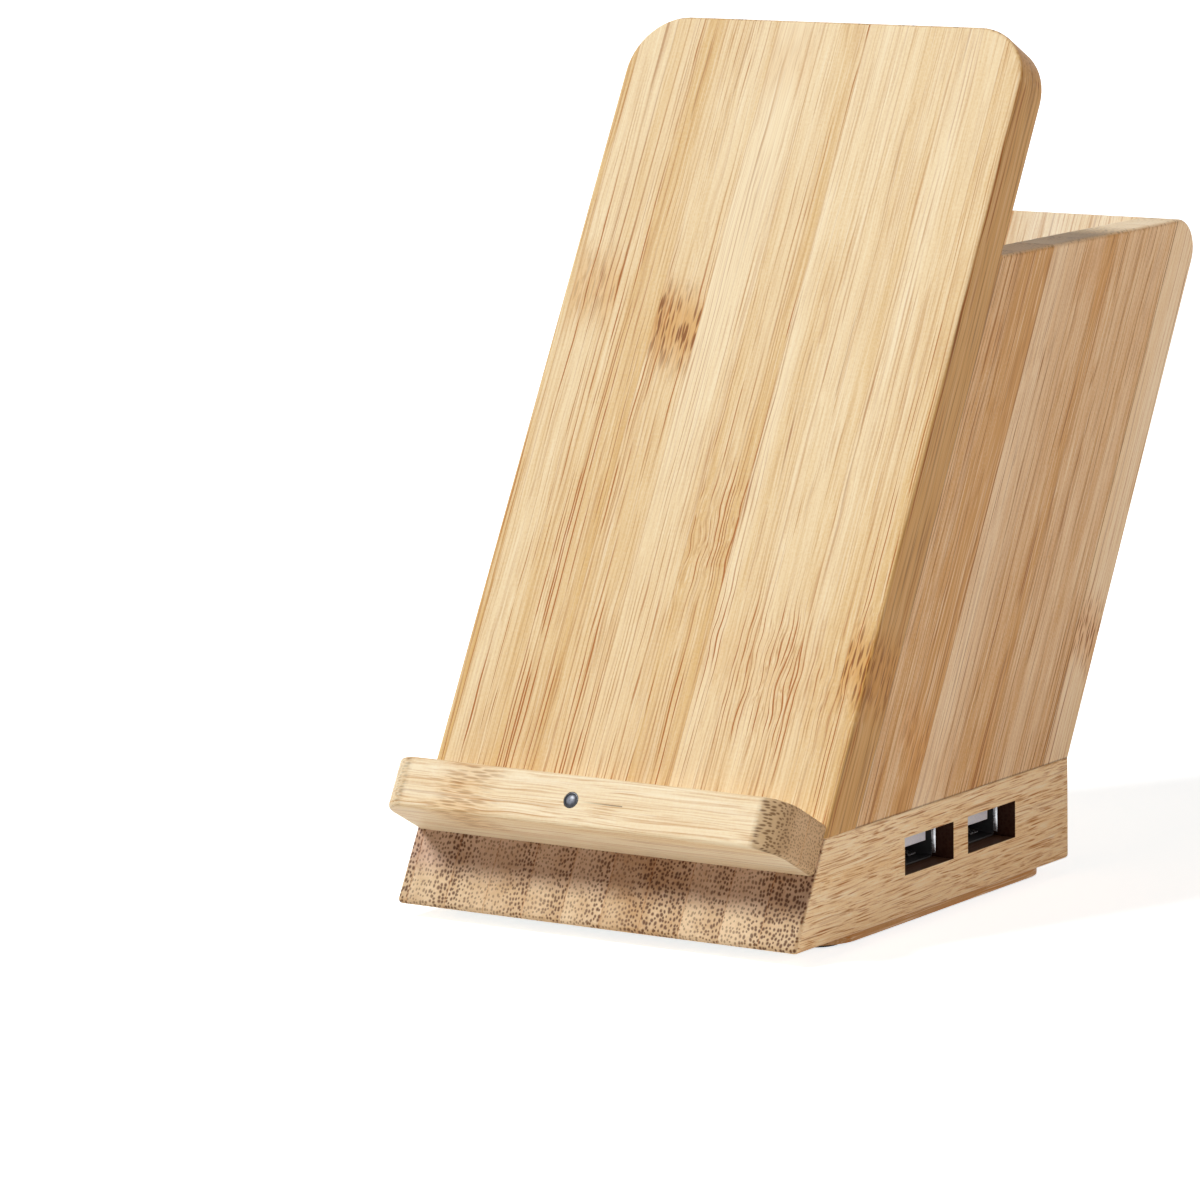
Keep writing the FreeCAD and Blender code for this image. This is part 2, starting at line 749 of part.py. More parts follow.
on_board("hub_chip", "0", board_middle, "hub_chip_side", "chip_height")
on_board("charger_chip", "0", f"{board_middle} - chip_pitch", "charger_chip_side", "chip_height")
on_board("power_choke", "chip_pitch", board_middle, "choke_side", "choke_height")
cans = []
for name, y in (("front", f"{board_middle} - chip_pitch / 2"), ("rear", f"{board_middle} + chip_pitch / 2")):
    cans.append(cylinder("capacitor_" + name, "capacitor_radius", "capacitor_height",
                         ("-chip_pitch", y, board_top)))
finished(group("capacitors", cans), "capacitors")

for label, x in (("coil_header", coil_header_x), ("indicator_header", "lens_offset")):
    header = box(label, (f"{x} - header_width / 2", header_front, board_top),
                 ("header_width", "header_length", "header_height"))
    finished(header, label)


# Coil leads: down the plate's channel, through the roof of the block and across to their header
def coil_lead(x):
    depth = "(-front_skin - coil_thickness / 2)"
    lead_level = value(header_level)
    start_up = f"({coil_slope} - coil_outer_radius - board_gap)"
    seam_up = slope_at("base_height", depth)
    route = [
        Vector(x, value(slope_y(start_up, depth)), value(slope_z(start_up, depth))),
        Vector(x, value(slope_y(seam_up, depth)), value(slope_z(seam_up, depth))),
        Vector(x, value(f"{slot_front} + lead_hole_length / 2 + lead_drop_shift"), lead_level),
        Vector(x, value(header_front), lead_level),
    ]
    bend = value("lead_bend")
    edges = []
    last = route[0]
    for before, corner, after in zip(route, route[1:], route[2:]):
        arrive = (corner - before).normalize()
        leave = (after - corner).normalize()
        turn = arrive.getAngle(leave)
        reach = bend * math.tan(turn / 2)
        entry = corner - arrive * reach
        leaving = corner + leave * reach
        inward = (leave - arrive).normalize()
        middle = corner + inward * (bend / math.cos(turn / 2) - bend)
        edges.append(Part.LineSegment(last, entry).toShape())
        edges.append(Part.Arc(entry, middle, leaving).toShape())
        last = leaving
    edges.append(Part.LineSegment(last, route[-1]).toShape())
    path = Part.Wire(edges)
    section = Part.Wire(Part.makeCircle(value("coil_lead_radius"), route[0], route[1] - route[0]))
    tube = path.makePipeShell([section], True, False)
    expected = math.pi * value("coil_lead_radius") ** 2 * path.Length
    print("coil lead bends %.1f mm, volume over section times length %.4f" % (bend, tube.Volume / expected))
    return tube


leads = named("Part::Feature", "coil_leads")
lead_places = [value(f"{coil_header_x} + {sign} * lead_spacing / 2") for side, sign in side_names]
leads.Shape = Part.makeCompound([coil_lead(x) for x in lead_places])
finished(leads, "coil_leads")

# Four sockets, each a steel shell with a tongue and four contacts
contact_count = 4
for side, sign in side_names:
    for end, y in (("front", front_port), ("rear", rear_port)):
        spot = f"{side}_{end}"
        mouth = f"({half_width} - port_setback)"
        shell_x = f"({mouth} - shell_length)" if sign > 0 else f"(-{mouth})"
        outer = box("shell_outer_" + spot, (shell_x, f"{y} - shell_width / 2", shell_bottom),
                    ("shell_length", "shell_width", "shell_height"))
        hollow_x = f"{shell_x} + shell_back" if sign > 0 else shell_x
        hollow = box("shell_hollow_" + spot,
                     (hollow_x, f"{y} - shell_width / 2 + shell_metal", f"{shell_bottom} + shell_metal"),
                     ("shell_length - shell_back", "shell_width - 2 * shell_metal",
                      "shell_height - 2 * shell_metal"))
        finished(carved("usb_shell_" + spot, outer, [hollow]), "usb_shell_" + spot)
        tongue_length = "shell_length - shell_back - tongue_setback"
        tongue_x = f"{shell_x} + shell_back" if sign > 0 else f"{shell_x} + tongue_setback"
        tongue = box("usb_tongue_" + spot, (tongue_x, f"{y} - tongue_width / 2", port_level),
                     (tongue_length, "tongue_width", "tongue_thickness"))
        finished(tongue, "usb_tongue_" + spot)
        contacts = []
        for number in range(contact_count):
            middle = f"{y} + ({number} - {contact_count - 1} / 2) * contact_pitch"
            corner = (tongue_x, f"{middle} - contact_width / 2", f"{port_level} - contact_thickness")
            contacts.append(box(f"contact_{spot}_{number}", corner,
                                (tongue_length, "contact_width", "contact_thickness")))
        finished(group("usb_contacts_" + spot, contacts), "usb_contacts_" + spot)


# Round-ended tube of the inlet, drawn along Y
def inlet_tube(label, margin, start):
    height = f"(inlet_height - 2 * {margin})"
    body = slab(label, [
        (start, f"{inlet_level} - {height} / 2"),
        (f"{start} + inlet_length", f"{inlet_level} - {height} / 2"),
        (f"{start} + inlet_length", f"{inlet_level} + {height} / 2"),
        (start, f"{inlet_level} + {height} / 2"),
    ], f"inlet_width - 2 * {margin}")
    corner = f"{height} / 2 - inlet_side_flat"
    round_edges(body, lambda span: span.XLength < near and span.ZLength < near, corner)
    return body


inlet_start = f"({inlet_mouth} - inlet_length)"
inlet_outer = inlet_tube("inlet_outer", "0", inlet_start)
inlet_hollow = inlet_tube("inlet_hollow", "inlet_metal", f"({inlet_start} + inlet_back)")
finished(carved("inlet_shell", inlet_outer, [inlet_hollow]), "inlet_shell")
inlet_tongue_low = f"{inlet_level} - inlet_tongue_thickness / 2"
inlet_tongue_length = "inlet_length - inlet_back - tongue_setback"
inlet_tongue = box("inlet_tongue", ("-inlet_tongue_width / 2", f"{inlet_start} + inlet_back", inlet_tongue_low),
                   ("inlet_tongue_width", inlet_tongue_length, "inlet_tongue_thickness"))
finished(inlet_tongue, "inlet_tongue")

doc.recompute()

faults = []
for obj in doc.Objects:
    if "Invalid" in obj.State or "Error" in obj.State:
        faults.append(obj.Label + " " + str(obj.State))
for obj in sub_parts:
    if obj.Shape.isNull() or not obj.Shape.isValid():
        faults.append(obj.Label + " has no sound shape")
if faults:
    raise RuntimeError("; ".join(faults))

os.makedirs("parts", exist_ok=True)
for obj in sub_parts:
    obj.Shape.exportStep("parts/%s.step" % obj.Label)
print("%d sub-parts written" % len(sub_parts))
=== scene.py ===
import bpy
import math
from mathutils import Euler, Matrix, Vector


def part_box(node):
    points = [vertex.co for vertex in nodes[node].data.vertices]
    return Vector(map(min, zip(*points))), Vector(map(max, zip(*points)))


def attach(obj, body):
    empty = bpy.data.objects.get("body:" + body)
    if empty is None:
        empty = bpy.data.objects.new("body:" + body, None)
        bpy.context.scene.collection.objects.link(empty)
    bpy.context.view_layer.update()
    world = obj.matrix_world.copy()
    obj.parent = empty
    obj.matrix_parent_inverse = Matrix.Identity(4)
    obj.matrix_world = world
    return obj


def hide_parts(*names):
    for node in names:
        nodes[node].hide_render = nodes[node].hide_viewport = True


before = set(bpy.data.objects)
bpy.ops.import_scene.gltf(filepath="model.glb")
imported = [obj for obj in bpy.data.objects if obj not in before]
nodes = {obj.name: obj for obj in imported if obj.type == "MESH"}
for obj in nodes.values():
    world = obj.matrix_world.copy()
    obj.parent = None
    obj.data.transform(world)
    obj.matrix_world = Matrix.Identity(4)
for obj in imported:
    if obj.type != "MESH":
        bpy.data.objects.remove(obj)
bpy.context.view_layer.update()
bpy.ops.object.select_all(action="DESELECT")
print("frame loaded,", len(nodes), "nodes")

mm = 0.001
near = 0.01                      # mm, closer than this is the same place
lean = 28.5                      # degrees, of the plate and the front of the base
tilt = math.radians(lean)
frontEdge = -42.2                # lower front edge of the base, mm
baseLow = 2.2
baseHigh = 18.9
socketLevel = 11.73              # middle of the sockets in the sides, mm
smooth = {"interpolation_type": "SMOOTHSTEP"}    # settings that many nodes share
inColour = {"data_type": "RGBA"}


def slopePoint(across, up, out):
    # a point given along the leaning front, in metres
    back = frontEdge + up * math.sin(tilt) - out * math.cos(tilt)
    high = baseLow + up * math.cos(tilt) + out * math.sin(tilt)
    return Vector((across * mm, back * mm, high * mm))


def shade(code):
    # sRGB hex to linear
    parts = [int(code[i:i + 2], 16) / 255 for i in (1, 3, 5)]
    return [p / 12.92 if p <= 0.04045 else ((p + 0.055) / 1.055) ** 2.4 for p in parts] + [1.0]


def addNode(tree, kind, inputs=(), **settings):
    # inputs are in the order of the node's sockets, or by name; each is a value, a socket or a node
    node = tree.nodes.new("ShaderNode" + kind)
    for name, setting in settings.items():
        setattr(node, name, setting)
    sockets = [s for s in node.inputs if s.enabled]
    pairs = inputs.items() if isinstance(inputs, dict) else enumerate(inputs)
    for key, value in pairs:
        socket = sockets[key] if isinstance(key, int) else node.inputs[key]
        if isinstance(value, bpy.types.Node):
            value = next(s for s in value.outputs if s.enabled)
        if isinstance(value, bpy.types.NodeSocket):
            tree.links.new(value, socket)
        elif value is not None:
            socket.default_value = value
    return node


def newMaterial(name):
    material = bpy.data.materials.new(name)
    material.use_nodes = True
    material.node_tree.nodes.clear()
    return material, material.node_tree


def cover(material, *names):
    # give CAD nodes a finish
    for name in names:
        slots = nodes[name].data.materials
        slots.clear()
        slots.append(material)


# Laminated bamboo: strips glued side by side, sanded, thin matt lacquer.
# Long faces show cream to tan strips with fine orange-brown fibre lines and knuckles,
# cut ends show dark fibre bundles as dots, denser towards the outside of the culm.
bambooLook = {
    "cream": "#f8e5b8",
    "tan": "#deb672",
    "pale": "#fff4d6",
    "line": "#bd7c2c",
    "vein": "#9d5a1c",
    "knuckle": "#96591a",
    "knuckleReach": 8.5,      # mm to each side, along the grain
    "blush": "#dda258",       # tint round a knuckle
    "blushShow": 0.45,
    "endPale": "#e6c89e",
    "endTan": "#c9a06c",
    "bundle": "#6b4524",
    "dotShow": (0.45, 0.95),  # how dark the bundles are, inside and outside of the culm
    "endFrom": (0.3, 0.75),   # how square to the grain a face is before it shows its ends
    "bundleSpacing": 0.86,    # mm between fibre bundles
    "bundleFlat": 1.0,        # under 1 they are longer one way
    "veinSpacing": 1.7,       # mm between strong fibres
    "veinForce": 0.75,
    "finePitch": 0.26,        # mm, single fibres
    "fineRun": 26,            # mm, how far one fibre shows
    "fineShow": 0.6,          # how strong the single fibres are
    "dash": (0.45, 4.0),      # mm across and along, the dashes in a knuckle
    "gap": (0.9, 11),         # mm across and along, the breaks in a line
    "bunch": (3, 40),         # mm across and along, the bunches of single lines
    "mottle": 0.5,            # mm
    "glue": (0.16, 0.04),     # mm from a joint of two strips, where its line starts and is full
    "thick": (0.24, 0.46),    # bundle radius over spacing, inside and outside of the culm
    "thin": 0.7,              # how much of a bundle shows as a line on a long face
    "richTone": 0.35,         # how much darker the outside of the culm is
    "lineForce": (0.3, 0.85),
}
# noises that bend and tone the fibres: mm across the grain, mm along it, detail
grainNoise = {"slow": (3.5, 75, 2), "wander": (7, 48, 1), "ripple": (4.5, 8, 1), "wobble": (2.5, 13, 1)}
jointAndGapShade = "#4d3218"          # dark joint of two boards, partly painted shade of the gap
grainReach = 200              # mm, the farthest place that a knuckle can have
plainStrip = (0, 0, 0, 0, 0.5, 0)    # what a strip is like where its list ends sooner


def perMm(wide, far):
    # scale of a pattern that is so wide across the grain and so far along it
    return 1 / wide, 1 / wide, 1 / far


def bamboo(name, cut):
    look = dict(bambooLook, **cut.get("look", {}))
    material, tree = newMaterial(name)
    spot = addNode(tree, "TexCoord").outputs["Object"]
    normal = addNode(tree, "NewGeometry").outputs["Normal"]
    turn = Euler([math.radians(a) for a in cut["turn"]])
    turnBack = turn.to_matrix().inverted()
    grain = addNode(tree, "Mapping", {"Vector": spot, "Location": cut["shift"], "Rotation": turn,
                                      "Scale": (1 / mm, 1 / mm, 1 / mm)})
    axes = addNode(tree, "SeparateXYZ", [grain])
    along = axes.outputs["Z"]

    # strip number, place within the strip, and what each strip is like
    count = len(cut["strips"])
    acrossGrain = axes.outputs[cut["across"]]
    firstEnd = cut["start"] + cut["width"]
    steps = addNode(tree, "MapRange", [acrossGrain, cut["start"], firstEnd, 0, 1], clamp=False)
    number = addNode(tree, "Math", [steps], operation="FLOOR")
    within = addNode(tree, "Math", [steps], operation="FRACT")
    stripAt = addNode(tree, "MapRange", [number, -0.5, count - 0.5, 0, 1])
    strips = addNode(tree, "ValToRGB", [stripAt])
    marks = addNode(tree, "ValToRGB", [stripAt])
    for i, strip in enumerate(cut["strips"]):
        tone, flip, place, force, reedy, flamy = strip + plainStrip[len(strip):]
        stripValues = (tone, place / grainReach, force, flip)
        for node, values in ((strips, stripValues), (marks, (reedy, flamy, 0, 1))):
            node.color_ramp.interpolation = "CONSTANT"
            stops = node.color_ramp.elements
            stop = stops[i] if i < 2 else stops.new(i / count)
            stop.position = i / count
            stop.color = values
    told = addNode(tree, "SeparateColor", [strips])
    marked = addNode(tree, "SeparateColor", [marks])
    stripTone, knucklePlace, knuckleForce = [told.outputs[c] for c in ("Red", "Green", "Blue")]
    reedShare, flame = [marked.outputs[c] for c in ("Red", "Green")]
    fromFlip = addNode(tree, "Math", [within, strips.outputs["Alpha"]], operation="SUBTRACT")
    depth = addNode(tree, "Math", [fromFlip], operation="ABSOLUTE")
    rich = addNode(tree, "MapRange", [depth, 0.15, 1.0, 0.05, 1.0], **smooth)

    # every strip has its own fibres
    own = addNode(tree, "VectorMath", [number, (17.3, 9.1, 37.7), grain], operation="MULTIPLY_ADD")
    noise = {}
    for label, (wide, far, detail) in grainNoise.items():
        noiseAt = addNode(tree, "VectorMath", [own, perMm(wide, far)], operation="MULTIPLY")
        noise[label] = addNode(tree, "TexNoise", [noiseAt, 1, detail, 0.5])
    slow, wander, ripple, wobble = noise.values()

    # knuckle: a band where the fibres ripple and break into short dashes
    away = addNode(tree, "Math", [knucklePlace, -grainReach, along], operation="MULTIPLY_ADD")
    uneven = addNode(tree, "Math", [slow, 10, away], operation="MULTIPLY_ADD")
    level = addNode(tree, "Math", [uneven, 5], operation="SUBTRACT")
    distance = addNode(tree, "Math", [level], operation="ABSOLUTE")
    band = addNode(tree, "MapRange", [distance, 1.0, look["knuckleReach"], 1, 0], **smooth)
    knuckle = addNode(tree, "Math", [band, knuckleForce], operation="MULTIPLY")
    rippleBand = addNode(tree, "MapRange", [distance, 1.0, 15.0, 1, 0], **smooth)
    rippleEach = addNode(tree, "Math", [flame, 1.9, knuckleForce], operation="MULTIPLY_ADD")
    rippleForce = addNode(tree, "Math", [rippleBand, rippleEach], operation="MULTIPLY")
    rippleBy = addNode(tree, "VectorMath", [ripple.outputs["Color"], (0.5, 0.5, 0.5)], operation="SUBTRACT")
    wandered = addNode(tree, "VectorMath", [wander.outputs["Color"], (1.1, 1.1, 0), own],
                       operation="MULTIPLY_ADD")
    wobbled = addNode(tree, "VectorMath", [wobble.outputs["Color"], (0.6, 0.6, 0), wandered],
                      operation="MULTIPLY_ADD")
    bent = addNode(tree, "VectorMath", [rippleBy, rippleForce, wobbled], operation="MULTIPLY_ADD")
    fibre = addNode(tree, "VectorMath", [along, cut["slant"] + (0,), bent], operation="MULTIPLY_ADD")

    # fibre bundles: cut across they are dots, cut along they are lines
    bundleAt = addNode(tree, "VectorMath", [fibre, (1, look["bundleFlat"], 1)], operation="MULTIPLY")
    bundles = addNode(tree, "TexVoronoi", {"Vector": bundleAt, "Scale": 1 / look["bundleSpacing"],
                                           "Randomness": 0.7}, voronoi_dimensions="2D")
    chance = addNode(tree, "SeparateColor", [bundles.outputs["Color"]])
    girth = addNode(tree, "MapRange", [rich, 0, 1, *look["thick"]])
    girthEach = addNode(tree, "MapRange", [chance, 0, 1, 0.65, 1.15])
    size = addNode(tree, "Math", [girth, girthEach], operation="MULTIPLY")
    core = addNode(tree, "Math", [size, 0.35], operation="MULTIPLY")
    dot = addNode(tree, "MapRange", [bundles, size, core, 0, 1], **smooth)
    lineEdge = addNode(tree, "Math", [size, look["thin"]], operation="MULTIPLY")
    lineCore = addNode(tree, "Math", [size, 0.15], operation="MULTIPLY")
    line = addNode(tree, "MapRange", [bundles, lineEdge, lineCore, 0, 1], **smooth)
    veins = addNode(tree, "TexVoronoi", {"Vector": fibre, "Scale": 1 / look["veinSpacing"],
                                         "Randomness": 1.0}, voronoi_dimensions="2D")
    veinLine = addNode(tree, "MapRange", [veins, 0.15, 0.04, 0, 1], **smooth)
    veinShow = addNode(tree, "MapRange", [wander, 0.42, 0.62, 0, look["veinForce"]])
    fineScale = perMm(look["finePitch"], look["fineRun"])
    fineAt = addNode(tree, "VectorMath", [fibre, fineScale], operation="MULTIPLY")
    fine = addNode(tree, "TexNoise", [fineAt, 1, 2, 0.6])
    dashAt = addNode(tree, "VectorMath", [wobbled, perMm(*look["dash"])], operation="MULTIPLY")
    dash = addNode(tree, "TexVoronoi", {"Vector": dashAt, "Scale": 1, "Randomness": 1.0})
    dashCut = addNode(tree, "MapRange", [dash, 0.54, 0.28, 0, 0.9], **smooth)
    dashShow = addNode(tree, "MapRange", [knuckleForce, 0.5, 0.7, 0.3, 1.2])
    dashed = addNode(tree, "Math", [dashCut, dashShow], operation="MULTIPLY")
    dashes = addNode(tree, "Math", [dashed, knuckle], operation="MULTIPLY", use_clamp=True)
    gapAt = addNode(tree, "VectorMath", [fibre, perMm(*look["gap"])], operation="MULTIPLY")
    gaps = addNode(tree, "TexNoise", [gapAt, 1, 1, 0.5])

    # long faces: tone of the strip, then pale fibres, blush, lines and dark fibres over it
    facing = addNode(tree, "SeparateXYZ", [normal])
    flankOn = addNode(tree, "Math", [facing], operation="ABSOLUTE")
    flank = addNode(tree, "MapRange", [flankOn, 0.5, 0.9, 0, cut.get("flank", 0)])
    mottle = addNode(tree, "TexNoise", [grain, 1 / look["mottle"], 2, 0.6])
    mottled = addNode(tree, "MapRange", [mottle, 0.3, 0.7, -0.14, 0.14])
    drift = addNode(tree, "MapRange", [slow, 0.3, 0.7, -0.25, 0.25])
    drifted = addNode(tree, "Math", [drift, mottled], operation="ADD")
    toned = addNode(tree, "Math", [rich, look["richTone"], stripTone], operation="MULTIPLY_ADD")
    if "fade" in cut:    # darker towards the foot of the culm
        fade = addNode(tree, "MapRange", [along, 20, 140, cut["fade"], -cut["fade"]])
        flank = addNode(tree, "Math", [flank, fade], operation="ADD")
    tonedFlank = addNode(tree, "Math", [toned, flank], operation="ADD")
    tone = addNode(tree, "Math", [tonedFlank, drifted], operation="ADD", use_clamp=True)
    body = addNode(tree, "Mix", [tone, shade(look["cream"]), shade(look["tan"])], **inColour)
    paleForce = addNode(tree, "MapRange", [fine, 0.46, 0.28, 0, look["fineShow"]])
    brightened = addNode(tree, "Mix", [paleForce, body, shade(look["pale"])], **inColour)
    blushForce = addNode(tree, "Math", [knuckle, look["blushShow"]], operation="MULTIPLY")
    blushed = addNode(tree, "Mix", [blushForce, brightened, shade(look["blush"])], **inColour)
    lineFade = addNode(tree, "MapRange", [slow, 0.35, 0.65, *look["lineForce"]])
    lineFlank = addNode(tree, "Math", [flank, 1.6, lineFade], operation="MULTIPLY_ADD")
    lineForce = addNode(tree, "Math", [knuckle, 0.3, lineFlank], operation="MULTIPLY_ADD", use_clamp=True)
    whole = addNode(tree, "MapRange", [gaps, 0.32, 0.55, 0.4, 1])
    lineWhole = addNode(tree, "Math", [line, whole], operation="MULTIPLY")
    lined = addNode(tree, "Math", [lineWhole, lineForce], operation="MULTIPLY")
    streaked = addNode(tree, "Mix", [lined, blushed, shade(look["line"])], **inColour)
    fineForce = addNode(tree, "MapRange", [fine, 0.5, 0.74, 0, look["fineShow"]])
    fibred = addNode(tree, "Mix", [fineForce, streaked, shade(look["line"])], **inColour)
    if "reedPitch" in look:    # crisp single lines in bunches, bent like flames beside some knuckles
        reedAxis = cut.get("reedAcross", cut["across"])
        sideways = addNode(tree, "SeparateXYZ", [fibre])
        reeds = addNode(tree, "TexVoronoi", {"W": sideways.outputs[reedAxis], "Randomness": 0.75,
                                             "Scale": 1 / look["reedPitch"]}, voronoi_dimensions="1D")
        lot = addNode(tree, "SeparateColor", [reeds.outputs["Color"]])
        reedWide = addNode(tree, "MapRange", [lot.outputs["Green"], 0, 1, 0.12, 0.26])
        reedCore = addNode(tree, "Math", [reedWide, 0.4], operation="MULTIPLY")
        reedLine = addNode(tree, "MapRange", [reeds, reedWide, reedCore, 0, 1], **smooth)
        reedLot = addNode(tree, "MapRange", [lot, 0.15, 0.6, 0.15, 1])
        bunchAt = addNode(tree, "VectorMath", [own, perMm(*look["bunch"])], operation="MULTIPLY")
        bunch = addNode(tree, "TexNoise", [bunchAt, 1, 1, 0.5])
        bunched = addNode(tree, "MapRange", [bunch, 0.38, 0.6, 0.15, 1.6])
        lower = addNode(tree, "MapRange", [along, 30, 125, 1.2, 0.5])    # stronger towards the foot
        bunchedLow = addNode(tree, "Math", [bunched, lower], operation="MULTIPLY")
        shared = addNode(tree, "Math", [bunchedLow, reedShare], operation="MULTIPLY")
        flameBand = addNode(tree, "MapRange", [distance, 3.0, 16.0, 1, 0], **smooth)
        flamed = addNode(tree, "Math", [flameBand, flame, shared], operation="MULTIPLY_ADD")
        reedPart = addNode(tree, "Math", [reedLine, reedLot], operation="MULTIPLY")
        reedGap = addNode(tree, "MapRange", [gaps, 0.36, 0.56, 0.15, 1])
        reedWhole = addNode(tree, "Math", [reedPart, reedGap], operation="MULTIPLY")
        reedShow = addNode(tree, "Math", [reedWhole, flamed], operation="MULTIPLY", use_clamp=True)
        axis = turnBack @ Vector((1, 0, 0) if reedAxis == "X" else (0, 1, 0))
        sideOn = addNode(tree, "VectorMath", [normal, axis], operation="DOT_PRODUCT")
        sideOnBy = addNode(tree, "Math", [sideOn.outputs["Value"]], operation="ABSOLUTE")
        flat = addNode(tree, "MapRange", [sideOnBy, 0.3, 0.7, look["reedForce"], 0])
        reedForce = addNode(tree, "Math", [reedShow, flat], operation="MULTIPLY")
        fibred = addNode(tree, "Mix", [reedForce, fibred, shade(look["reed"])], **inColour)
    veinFlank = addNode(tree, "Math", [flank, 1.2, veinShow], operation="MULTIPLY_ADD", use_clamp=True)
    veinForce = addNode(tree, "Math", [veinLine, veinFlank], operation="MULTIPLY")
    veined = addNode(tree, "Mix", [veinForce, fibred, shade(look["vein"])], **inColour)
    longFace = addNode(tree, "Mix", [dashes, veined, shade(look["knuckle"])], **inColour)
    if "sideTint" in cut:    # the sawn sides of the board are browner, with dark and pale streaks
        tint = addNode(tree, "MapRange", [flankOn, 0.5, 0.9, 0, 0.35])
        longFace = addNode(tree, "Mix", [tint, longFace, shade(cut["sideTint"])], **inColour)
        wide, far = cut["streak"]
        streakAt = addNode(tree, "VectorMath", [fibre, (0, 1 / wide, 1 / far)], operation="MULTIPLY")
        streak = addNode(tree, "TexNoise", [streakAt, 1, 2, 0.65])
        for low, high, force, hue in ((0.51, 0.67, 1.8, "#7c4f26"), (0.48, 0.33, 1.6, "#d8b483")):
            streakOn = addNode(tree, "MapRange", [streak, low, high, 0, force])
            streakForce = addNode(tree, "Math", [streakOn, tint], operation="MULTIPLY")
            longFace = addNode(tree, "Mix", [streakForce, longFace, shade(hue)], **inColour)

    # cut ends
    ground = addNode(tree, "Mix", [tone, shade(look["endPale"]), shade(look["endTan"])], **inColour)
    dotShow = addNode(tree, "MapRange", [rich, 0, 1, *look["dotShow"]])
    dotForce = addNode(tree, "Math", [dot, dotShow], operation="MULTIPLY")
    endFace = addNode(tree, "Mix", [dotForce, ground, shade(look["bundle"])], **inColour)
    direction = turnBack @ Vector((0, 0, 1))
    cutAcross = addNode(tree, "VectorMath", [normal, direction], operation="DOT_PRODUCT")
    square = addNode(tree, "Math", [cutAcross], operation="ABSOLUTE")
    ends = addNode(tree, "MapRange", [square, *look["endFrom"], 0, 1], **smooth)
    if "quietEnd" in cut:    # one end shows few bundles
        quiet = addNode(tree, "MapRange", [along, cut["quietEnd"], cut["quietEnd"] + 6, 0.12, 1])
        ends = addNode(tree, "Math", [ends, quiet], operation="MULTIPLY")
    wood = addNode(tree, "Mix", [ends, longFace, endFace], **inColour)

    # glue lines
    fromMiddle = addNode(tree, "Math", [within, 0.5], operation="SUBTRACT")
    middle = addNode(tree, "Math", [fromMiddle], operation="ABSOLUTE")
    glueFrom, glueFull = [0.5 - g / cut["width"] for g in look["glue"]]
    glue = addNode(tree, "MapRange", [middle, glueFrom, glueFull, 0, 0.35])
    colour = addNode(tree, "Mix", [glue, wood, shade(look["line"])], **inColour)

    height = addNode(tree, "SeparateXYZ", [spot]).outputs["Z"]
    if "socketCutoutTone" in cut:    # the insides of the socket cut-outs are darker
        socketCutoutTone = cut["socketCutoutTone"]
        inside = addNode(tree, "MapRange", [flankOn, 0.7, 0.3, 0, 0.97])
        atLevel = addNode(tree, "Math", [axes.outputs["Y"], -socketCutoutTone["level"], socketCutoutTone["high"]],
                          operation="COMPARE")
        atPlace = addNode(tree, "Math", [along, socketCutoutTone["along"], socketCutoutTone["far"]], operation="COMPARE")
        window = addNode(tree, "Math", [atLevel, atPlace], operation="MULTIPLY")
        darkenedInside = addNode(tree, "Math", [inside, window], operation="MULTIPLY")
        colour = addNode(tree, "Mix", [darkenedInside, colour, shade(socketCutoutTone["colour"])], **inColour)
    if "underLipPaintedShade" in cut:    # painted shade: up under the lip the front is tinted a little darker and less yellow
        under = cut["underLipPaintedShade"]
        high = addNode(tree, "MapRange", [height, under["from"] * mm, under["to"] * mm, 0, 1])
        front = addNode(tree, "MapRange", [facing.outputs["Y"], -0.5, -0.8, 0, 1])
        force = addNode(tree, "Math", [high, front], operation="MULTIPLY")
        hue = shade(under["colour"])
        colour = addNode(tree, "Mix", [force, colour, hue], blend_type="MULTIPLY", **inColour)
    for place in cut.get("seams", ()):    # a hairline where another board butts, so far behind the front: a dark joint, partly painted shade of the gap
        off = addNode(tree, "Math", [axes.outputs["Y"], place], operation="SUBTRACT")
        offBy = addNode(tree, "Math", [off], operation="ABSOLUTE")
        hair = addNode(tree, "MapRange", [offBy, 0.06, 0.24, 0.6, 0])
        colour = addNode(tree, "Mix", [hair, colour, shade(jointAndGapShade)], **inColour)
    if "foot" in cut:    # the same where it stands on another board: dark joint, partly painted shade of the gap
        hair = addNode(tree, "MapRange", [height, cut["foot"] * mm, (cut["foot"] + 0.3) * mm, 0.75, 0])
        colour = addNode(tree, "Mix", [hair, colour, shade(jointAndGapShade)], **inColour)
    if "check" in cut:    # a fine drying crack along the grain
        check = cut["check"]
        off = addNode(tree, "Math", [axes.outputs["X"], -check["up"]], operation="SUBTRACT")
        offBy = addNode(tree, "Math", [off], operation="ABSOLUTE")
        offLine = addNode(tree, "MapRange", [offBy, 0.03, 0.16, 0.75, 0])
        run = addNode(tree, "MapRange", [along, check["from"], check["to"], 0, 1])
        before = addNode(tree, "Math", [along, check["to"]], operation="LESS_THAN")
        runFade = addNode(tree, "Math", [run, 1, before], operation="MULTIPLY_ADD")
        runCut = addNode(tree, "MapRange", [runFade, 1.0, 1.7, 0, 1])
        crack = addNode(tree, "Math", [offLine, runCut], operation="MULTIPLY")
        colour = addNode(tree, "Mix", [crack, colour, shade(check["colour"])], **inColour)
    gloss = addNode(tree, "MapRange", [fine, 0.2, 0.8, 0.46, 0.6])
    relief = addNode(tree, "Math", [dot, -0.6, fine], operation="MULTIPLY_ADD")
    bump = addNode(tree, "Bump", {"Height": relief, "Strength": 0.3, "Distance": 0.04 * mm})
    surface = addNode(tree, "BsdfPrincipled", {"Base Color": colour, "Roughness": gloss, "IOR": 1.5,
                                               "Specular IOR Level": 0.2, "Normal": bump})
    addNode(tree, "OutputMaterial", [surface])
    return material


